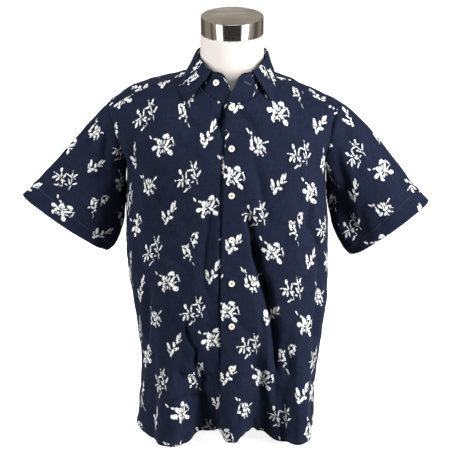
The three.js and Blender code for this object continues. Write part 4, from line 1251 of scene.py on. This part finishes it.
keep = add_node(tree, "CombineXYZ", {"X": 1, "Y": 1, "Z": keep}).outputs[0]
added = add_node(tree, "CombineXYZ", {"Z": inside}).outputs[0]
laid = vectors(tree, "ADD", vectors(tree, "MULTIPLY", painted, keep), added)
tree.links.new(laid, given.inputs["Painted"])

# %% The sprigs, in millimetres: each stroke's middle, turn, half length, half width, and 0 where bare
STROKE = "x y angle long wide ink"
SPRIGS = {
    "bloom": table(STROKE, """
        22 -1 20 2.6 2 1; 20.5 6 -72 6 1.4 1; 16.5 10.5 35 4.6 2.2 1; 13.5 -2.5 20 4.4 1.6 1
        -1 -8 82 4.5 1.3 1; 2.5 -11 -80 3.6 0.9 1; -4.5 -10 70 4 1 1; -9 -6 78 6.5 3 1
        -10.5 -14 -62 5.2 2.5 1; -9 0 -8 7 3.4 1; -17.5 0.5 -6 5.6 5.2 1; -13 -2 10 2.2 0.7 0
        -1.5 6 96 8 1.6 1; -7 9 112 8.4 4.4 1; -4.6 4 116 5.4 0.9 0; 3.5 9 74 7 1.7 1
        12.5 12.5 -58 5.4 2.8 1; 7 17.5 14 6.4 4.6 1; 4 12 70 2.8 0.9 0; 9 4 52 9 3 1; 8 9 50 4.6 0.8 0
        7 -6 -47 9 2.9 1; 14 -14.5 -42 6.2 4.9 1; 15.5 -16 0 1.3 1.2 0; -14.5 16.5 -22 3.4 2 1
        -25 23 -58 4.6 1.7 1; -5 -3.6 30 1.9 1.2 0; 2.6 2.2 60 2.6 0.7 0
    """),
    "leaves": table(STROKE, """
        18 9.5 32 6 1.2 1; 14.5 7 62 3 1.1 1; 18.6 20 80 7 1.9 1; 12.8 14 79 10 3.1 1
        15.4 13 74 4 0.7 0; 5 4 97 6 3.1 1; 9 -5.5 8 6 3.4 1; 7.6 -6.6 0 1.2 1.1 0; 1.6 -10 70 7.2 2.9 1
        -3 -13 -74 6.6 3.2 1; -8 -6.5 -64 5.6 1.1 1; -6.4 2 -68 8.6 3.3 1; -3.6 -7 -66 4.6 0.7 0
    """),
    "thistle": table(STROKE, """
        -17 22 -58 5 1.6 1; -10.5 19 -70 4.6 1.7 1; -9 11.5 -82 3.4 0.8 1; 19.5 8.8 32 5.6 1.5 1
        13.5 5.5 50 2.4 0.8 1; 17 -8 -42 4.6 1.1 1; 15.4 -2.6 -52 4.8 2.3 1; 12 -15 -58 4.6 2.6 1
        3.6 -17 92 3.2 1.2 1; 8 -10 -52 6.4 2.8 1; 1.6 -12 28 4.8 3 1; -7.4 -7.6 4 5 4.2 1
        -9.2 2 -82 6.6 3.2 1; 8 6 78 6 2.4 1; 9 -2 66 5.4 2.6 1; 5 9 -68 6 1.9 1; 3.6 -1 88 6.2 3.2 1
        -1.4 8 108 6.4 2.6 1; -2.2 1 92 4 0.8 0; 5.6 1 70 2.8 0.8 0; 8.4 -6.4 30 1.6 0.9 0
        -7.6 -6.4 40 2 0.7 0; 2 -6 -40 2.4 0.7 0
    """),
    "lily": table(STROKE, """
        14 -9 6 3.4 1.4 1; 27 4 56 6.4 1.9 1; 23 -9 -80 7 0.8 1; 17 0.4 -52 5.6 2.7 1
        14 4 -32 3.2 1.5 1; 18.4 7.5 -74 7.6 1.2 1; 20.6 22 70 6.8 2 1; 14 21.4 100 6 1.4 1
        12.4 28.6 110 2.2 0.7 1; 21 14.4 2 4 1.5 1; 9.6 14.4 -2 8.4 1.7 1; 2 7 86 8 1.5 1
        4.6 -18.6 -12 3.8 1.6 1; 0 -22.4 42 5.8 1.7 1; 8.2 -13 -76 6 0.8 1; 3.4 -7 -48 6 2.2 1
        5.4 -3.6 4 3.2 2.1 1; -5.6 -9.6 84 5.8 1.9 1; -9 -4.4 46 4 1.2 1; -13.4 -10 64 6.2 2.5 1
        -9.6 -1.4 2 8 1.4 1; -20.6 -2.4 12 2.2 1.3 1; -5.6 5.6 -66 7 1.3 1; -9.8 13.6 -76 5.4 2.9 1
    """),
    "buds": table(STROKE, """
        9.6 -37 -66 5 0.6 1; 3.6 -27.5 80 3 1.1 1; 4.6 -20.4 -58 4 1.7 1; -7.4 -20.6 58 3.6 1.8 1
        -1 -18 2 5 1.9 1; 2.2 -12.4 -80 6 2 1; -0.4 -4.6 86 6.4 2.2 1; -8 -7 -80 8.4 3 1
        -3.2 -10 86 3.4 0.9 0; 0.8 3 80 3.4 1.5 1; -4 0.4 40 4 2 1; -8.4 2.4 26 3.6 1.7 1
        -7 -2 58 1.6 0.7 0; 7.2 13.4 94 5 0.9 1; 11 1.6 78 3.2 1.6 1; 16.4 5.6 -58 4 2.5 1
        12 7.4 64 5.6 3.4 1; 11.4 21.4 52 4.6 1.4 1; 19 23.4 -30 3.2 1.5 1; 17.6 17 -76 7 3.1 1
        17.4 22.4 30 1.5 0.6 0; 15 10.8 30 1.6 0.6 0; 12 -4 82 3 0.6 1
    """),
}


def sprig_group(name, strokes):
    """A node group that paints one sprig."""
    group, taken, given = new_group(f"sprig_{name}", [("Place", "Vector", None)], [("Ink", "Float", None)])
    painted = taken.outputs["Place"]
    for x, y, angle, long, wide, ink in zip(*(strokes[column] for column in STROKE.split())):
        stroke = add_node(group, "Group", {
            "Painted": painted, "Middle": (x, y, 0), "Turn": (0, 0, math.radians(angle)),
            "Half Size": (long * STROKE_LENGTH, wide * STROKE_WIDTH, 1),
            "Line": STROKE_LINE * ink, "Ink": ink,
        }, node_tree=stroke_group)
        painted = stroke.outputs["Painted"]
    group.links.new(add_node(group, "SeparateXYZ", {0: painted}).outputs["Z"], given.inputs["Ink"])
    return group


# %% [markdown]
# The sprigs repeat in a half-drop: one lattice of places carries the bloom and the leaves by turns,
# and a second one, set midway between, carries the thistle, the lily and the buds.

# %% The print's repeat
REPEAT = (168.8, 268)  # across and along the grain, millimetres
RAGGED = 8.5  # how far the strokes' edges wander, millimetres
print_group, taken, given = new_group(
    "flower_print", [("Place", "Vector", None)], [("Ink", "Float", None)],
)
tree = print_group
place = taken.outputs["Place"]
ragged = noise(tree, place, 0.3, 5.0, 0.75, "Color")
torn = vectors(tree, "SUBTRACT", ragged, (0.5, 0.5, 0.5))
torn = vectors(tree, "MULTIPLY", torn, (RAGGED, RAGGED, 0))
place = vectors(tree, "ADD", place, torn)
half_cell = (REPEAT[0] / 2, REPEAT[1] / 2, 1)


def lattice(offset):
    """The place counted from the nearest site of a lattice, and the site's two parities."""
    moved = vectors(tree, "SUBTRACT", place, offset)
    sites = vectors(tree, "ADD", vectors(tree, "DIVIDE", moved, half_cell), (0.5, 0.5, 0))
    cell = vectors(tree, "FLOOR", sites)
    from_site = vectors(tree, "SUBTRACT", moved, vectors(tree, "MULTIPLY", cell, half_cell))
    split = add_node(tree, "SeparateXYZ", {0: cell})
    odd = (maths(tree, "FLOORED_MODULO", split.outputs[axis], 2.0) for axis in "XY")
    return vectors(tree, "MULTIPLY", from_site, (1, 1, 0)), *odd


def sprig(name, at):
    node = add_node(tree, "Group", node_tree=sprig_group(name, SPRIGS[name]))
    tree.links.new(at, node.inputs["Place"])
    return node.outputs["Ink"]


def choose(share, a, b):
    """a where share is 0, b where it is 1."""
    kept = maths(tree, "MULTIPLY", a, maths(tree, "SUBTRACT", 1.0, share))
    return maths(tree, "ADD", kept, maths(tree, "MULTIPLY", b, share))


first_at, odd_x, odd_y = lattice((0, 0, 0))
differ = maths(tree, "ABSOLUTE", maths(tree, "SUBTRACT", odd_x, odd_y))
first_ink = choose(differ, sprig("leaves", first_at), sprig("bloom", first_at))
second_at, odd_x, odd_y = lattice((REPEAT[0] / 4, -REPEAT[1] / 4, 0))
differ = maths(tree, "ABSOLUTE", maths(tree, "SUBTRACT", odd_x, odd_y))
alike = choose(odd_x, sprig("thistle", second_at), sprig("buds", second_at))
second_ink = choose(differ, alike, sprig("lily", second_at))
ink = maths(tree, "MAXIMUM", first_ink, second_ink)
speck = ramp(tree, noise(tree, place, 0.7, 4.0, 0.7), 0.38, 0.46, 0.1, 1.0)
tree.links.new(maths(tree, "MULTIPLY", ink, speck), given.inputs["Ink"])

# %% The weave
weave_group, taken, given = new_group(
    "chambray_weave",
    [("Place", "Vector", None), ("Yarn", "Float", 0.42)],
    [("Thread", "Float", None), ("Slub", "Float", None), ("Height", "Float", None)],
)
tree = weave_group
place = taken.outputs["Place"]
turns = vectors(tree, "SCALE", place)
tree.links.new(maths(tree, "DIVIDE", math.pi, taken.outputs["Yarn"]), turns.node.inputs["Scale"])
split = add_node(tree, "SeparateXYZ", {0: turns})
warp, weft = maths(tree, "SINE", split.outputs["X"]), maths(tree, "SINE", split.outputs["Y"])
over = maths(tree, "MULTIPLY", warp, weft)
along_warp, along_weft = (
    noise(tree, vectors(tree, "MULTIPLY", place, (*scales, 1)), 1.0, 3.0, 0.7)
    for scales in ((0.9, 0.045), (0.035, 0.7))
)
slub = maths(tree, "MULTIPLY", maths(tree, "ADD", along_warp, along_weft), 0.5)
tree.links.new(ramp(tree, over, -0.6, 0.6), given.inputs["Thread"])
tree.links.new(slub, given.inputs["Slub"])
height = maths(tree, "ADD", maths(tree, "ABSOLUTE", over), maths(tree, "MULTIPLY", slub, 2.0))
tree.links.new(height, given.inputs["Height"])


# %% Printed chambray
NAVY_DARK = (0.0030, 0.0044, 0.0115, 1)
NAVY_LIGHT = (0.0145, 0.0200, 0.0430, 1)
INK_WHITE = (0.84, 0.84, 0.83, 1)


def new_material(name, **sockets):
    """A material with values typed on its shader's sockets, named with _ for a space."""
    material = bpy.data.materials.new(name)
    material.use_nodes = True
    shader = material.node_tree.nodes["Principled BSDF"]
    for socket, value in sockets.items():
        shader.inputs[socket.replace("_", " ")].default_value = value
    return material, material.node_tree, shader


def feed(tree, shader, **sockets):
    """Links a node's output to each of the shader's sockets that are named."""
    for socket, output in sockets.items():
        tree.links.new(output, shader.inputs[socket.replace("_", " ")])


def mixed(tree, share, a, b):
    """The colour a where share is 0, b where it is 1."""
    node = add_node(tree, "Mix", data_type="RGBA")
    for socket, value in zip((node.inputs[0], node.inputs[6], node.inputs[7]), (share, a, b)):
        if isinstance(value, bpy.types.NodeSocket):
            tree.links.new(value, socket)
        else:
            socket.default_value = value
    return node.outputs[2]


def chambray(name):
    """Printed cloth: the weave's two blues under the print's white, a little worn on each thread."""
    material, tree, shader = new_material(name, Roughness=0.9, Specular_IOR_Level=0.05)
    grain_map = add_node(tree, "UVMap", uv_map="grain").outputs[0]
    place = vectors(tree, "MULTIPLY", grain_map, (1000, 1000, 0))
    weave = add_node(tree, "Group", node_tree=weave_group)
    tree.links.new(place, weave.inputs["Place"])
    heather = maths(tree, "ADD", maths(tree, "MULTIPLY", weave.outputs["Thread"], 0.35),
                    ramp(tree, weave.outputs["Slub"], 0.38, 0.64, 0.0, 0.60))
    colour = mixed(tree, heather, NAVY_DARK, NAVY_LIGHT)
    flowers = add_node(tree, "Group", node_tree=print_group)
    tree.links.new(place, flowers.inputs["Place"])
    worn = ramp(tree, weave.outputs["Thread"], 0.0, 0.5, 0.86, 1.0)
    colour = mixed(tree, maths(tree, "MULTIPLY", flowers.outputs["Ink"], worn), colour, INK_WHITE)
    relief = {"Strength": 0.35, "Distance": 0.00012, "Height": weave.outputs["Height"]}
    bump = add_node(tree, "Bump", relief)
    feed(tree, shader, Base_Color=colour, Normal=bump.outputs[0])
    return material


printed_cloth = chambray("printed_chambray")
for name, thing in pieces.items():
    thing.data.materials.append(printed_cloth)


# %% Form, cap, buttons and thread
form_finish, tree, shader = new_material("form_lacquer", Roughness=0.42)
where = add_node(tree, "TexCoord").outputs["Object"]
cloudy = mixed(tree, noise(tree, where, 9.0, 4.0), (0.60, 0.54, 0.51, 1), (0.64, 0.59, 0.565, 1))
sheen = ramp(tree, noise(tree, where, 60.0, 3.0), 0.3, 0.7, 0.36, 0.5)
relief = {"Strength": 0.06, "Distance": 0.0004, "Height": noise(tree, where, 420.0)}
bump = add_node(tree, "Bump", relief)
feed(tree, shader, Base_Color=cloudy, Roughness=sheen, Normal=bump.outputs[0])
torso.data.materials.append(form_finish)

chrome, tree, shader = new_material(
    "polished_chrome", Base_Color=(0.80, 0.78, 0.75, 1), Roughness=0.08, Metallic=1.0,
)
where = add_node(tree, "TexCoord").outputs["Object"]
lathe = add_node(tree, "Mapping", {"Vector": where, "Scale": (30, 30, 900)}).outputs[0]
smear = noise(tree, lathe, 1.0, 3.0)
tint = mixed(tree, smear, (0.74, 0.72, 0.69, 1), (0.85, 0.83, 0.80, 1))
feed(tree, shader, Base_Color=tint, Roughness=ramp(tree, smear, 0.35, 0.75, 0.05, 0.16))
cap.data.materials.append(chrome)

horn, tree, shader = new_material("button_resin", Roughness=0.35)
where = add_node(tree, "TexCoord").outputs["Object"]
veins = ramp(tree, noise(tree, where, 330.0, 4.0, 0.6), 0.35, 0.7)
feed(tree, shader, Base_Color=mixed(tree, veins, (0.78, 0.72, 0.56, 1), (0.93, 0.90, 0.80, 1)))
for button in buttons:
    button.data.materials.append(horn)

yarn, tree, shader = new_material("navy_thread", Roughness=0.7)
where = add_node(tree, "TexCoord").outputs["Object"]
ply = noise(tree, where, 1500.0)
feed(tree, shader, Base_Color=mixed(tree, ply, (0.012, 0.014, 0.03, 1), (0.035, 0.04, 0.075, 1)))
for thread in (*button_threads, *buttonholes, *stitching):
    thread.data.materials.append(yarn)

# %% [markdown]
# ## The studio
# A pale floor spreads under the form and far behind it, with two tall softboxes before it at either
# side. Polished metal shows whatever is round it, so the cap is given a room to mirror: a brownish
# wall, and a dark card behind the camera. They are seen in reflections only.


# %% Camera
CAMERA_AT = (0.00803, -4.19664, 1.766)
CAMERA_TILT = math.radians(17.9)
camera = bpy.data.objects.new("camera", bpy.data.cameras.new("camera"))
bpy.context.scene.collection.objects.link(camera)
camera.location = CAMERA_AT
camera.rotation_euler = (QUARTER - CAMERA_TILT, 0, 0)
camera.data.lens, camera.data.sensor_width = 178.95, 36
bpy.context.scene.camera = camera


# %% Floor and backdrop
def glowing(name, colour, light, strength):
    """A matt material that also gives light."""
    material, _, _ = new_material(
        name, Base_Color=colour, Roughness=0.9, Specular_IOR_Level=0.1,
        Emission_Color=light, Emission_Strength=strength,
    )
    return material


bpy.ops.mesh.primitive_plane_add(size=24, location=(0, 0, -0.0005))
floor = bpy.context.object
floor.name = "floor"
floor.visible_diffuse = False
PALE = (0.82, 0.82, 0.82, 1)
floor.data.materials.append(glowing("pale_floor", PALE, PALE, 1.02))


def reflected_only(thing):
    """What only mirrors see: it takes no light from the form and throws no shadow on it."""
    thing.visible_camera = False
    thing.visible_diffuse = False
    thing.visible_shadow = False
    thing.visible_transmission = False


def glow(thing, name, colour, strength=1.0):
    """Names a piece of the room and lets it glow in a colour, for mirrors only."""
    thing.name = name
    thing.data.materials.append(glowing(name, (0, 0, 0, 1), (*colour, 1), strength))
    reflected_only(thing)


# %% The room that the metal mirrors
ROOM, CARD_STEPS = 1.3, 12
bpy.ops.mesh.primitive_cylinder_add(vertices=96, radius=ROOM, depth=3.6, location=(0, 0, 1.79))
glow(bpy.context.object, "room_wall", (0.25, 0.215, 0.17))


def upright_card(name, azimuth, spread, low, high, colour, strength, distance=1.2):
    """A curved card round the form, `spread` degrees wide, that only mirrors see."""
    turns = np.radians(azimuth + np.linspace(-0.5, 0.5, CARD_STEPS + 1) * spread)
    points = [(distance * math.sin(a), -distance * math.cos(a), z) for z in (low, high) for a in turns]
    mesh = bpy.data.meshes.new(name)
    quads = [(i, i + 1, i + CARD_STEPS + 2, i + CARD_STEPS + 1) for i in range(CARD_STEPS)]
    mesh.from_pydata(points, [], quads)
    card = bpy.data.objects.new(name, mesh)
    bpy.context.scene.collection.objects.link(card)
    glow(card, name, colour, strength)


upright_card("dark_card", 0, 66, 0, 1.2, (0.024, 0.023, 0.020), 1, 1.24)
# Two glowing white strips, seen only in reflections, paint the softboxes' highlights into the cap at
# either side.
upright_card("left_highlight_strip", -47, 25, 0, 1.3, (1, 1, 1), 1.6)
upright_card("right_highlight_strip", 49, 27, 0, 1.3, (1, 1, 1), 1.6)
SHADES = (("left", -80, 12), ("far_left", -136, 34), ("right", 98, 22), ("far_right", 150, 30))
for side, azimuth, spread in SHADES:
    upright_card(f"{side}_shade", azimuth, spread, 0, 1.1, (0.10, 0.085, 0.07), 1)


# %% Lights
def softbox(name, azimuth, distance, height, size, power, aim=0.45):
    """An area light at an azimuth from the front, turned to the form."""
    lamp = bpy.data.lights.new(name, "AREA")
    lamp.shape, lamp.size, lamp.size_y, lamp.energy = "RECTANGLE", *size, power
    thing = bpy.data.objects.new(name, lamp)
    bpy.context.scene.collection.objects.link(thing)
    a = math.radians(azimuth)
    thing.location = (distance * math.sin(a), -distance * math.cos(a), height)
    thing.rotation_euler = (Vector((0, 0, aim)) - thing.location).to_track_quat("-Z", "Y").to_euler()


softbox("left_softbox", -68, 2.6, 1.45, (0.6, 1.8), 98)
softbox("right_softbox", 58, 2.6, 1.5, (0.6, 1.8), 140)
softbox("low_softbox", 62, 2.2, 0.35, (0.5, 0.7), 26, 0.55)
softbox("top_softbox", 5, 1.1, 3.0, (1.6, 1.2), 18)
softbox("rear_softbox", 180, 2.8, 2.0, (1.6, 1.0), 45)
world = bpy.data.worlds.new("studio_air")
world.use_nodes = True
world.node_tree.nodes["Background"].inputs["Color"].default_value = (1, 1, 1, 1)
world.node_tree.nodes["Background"].inputs["Strength"].default_value = 0.11
bpy.context.scene.world = world
bpy.context.scene.view_settings.view_transform = "Standard"
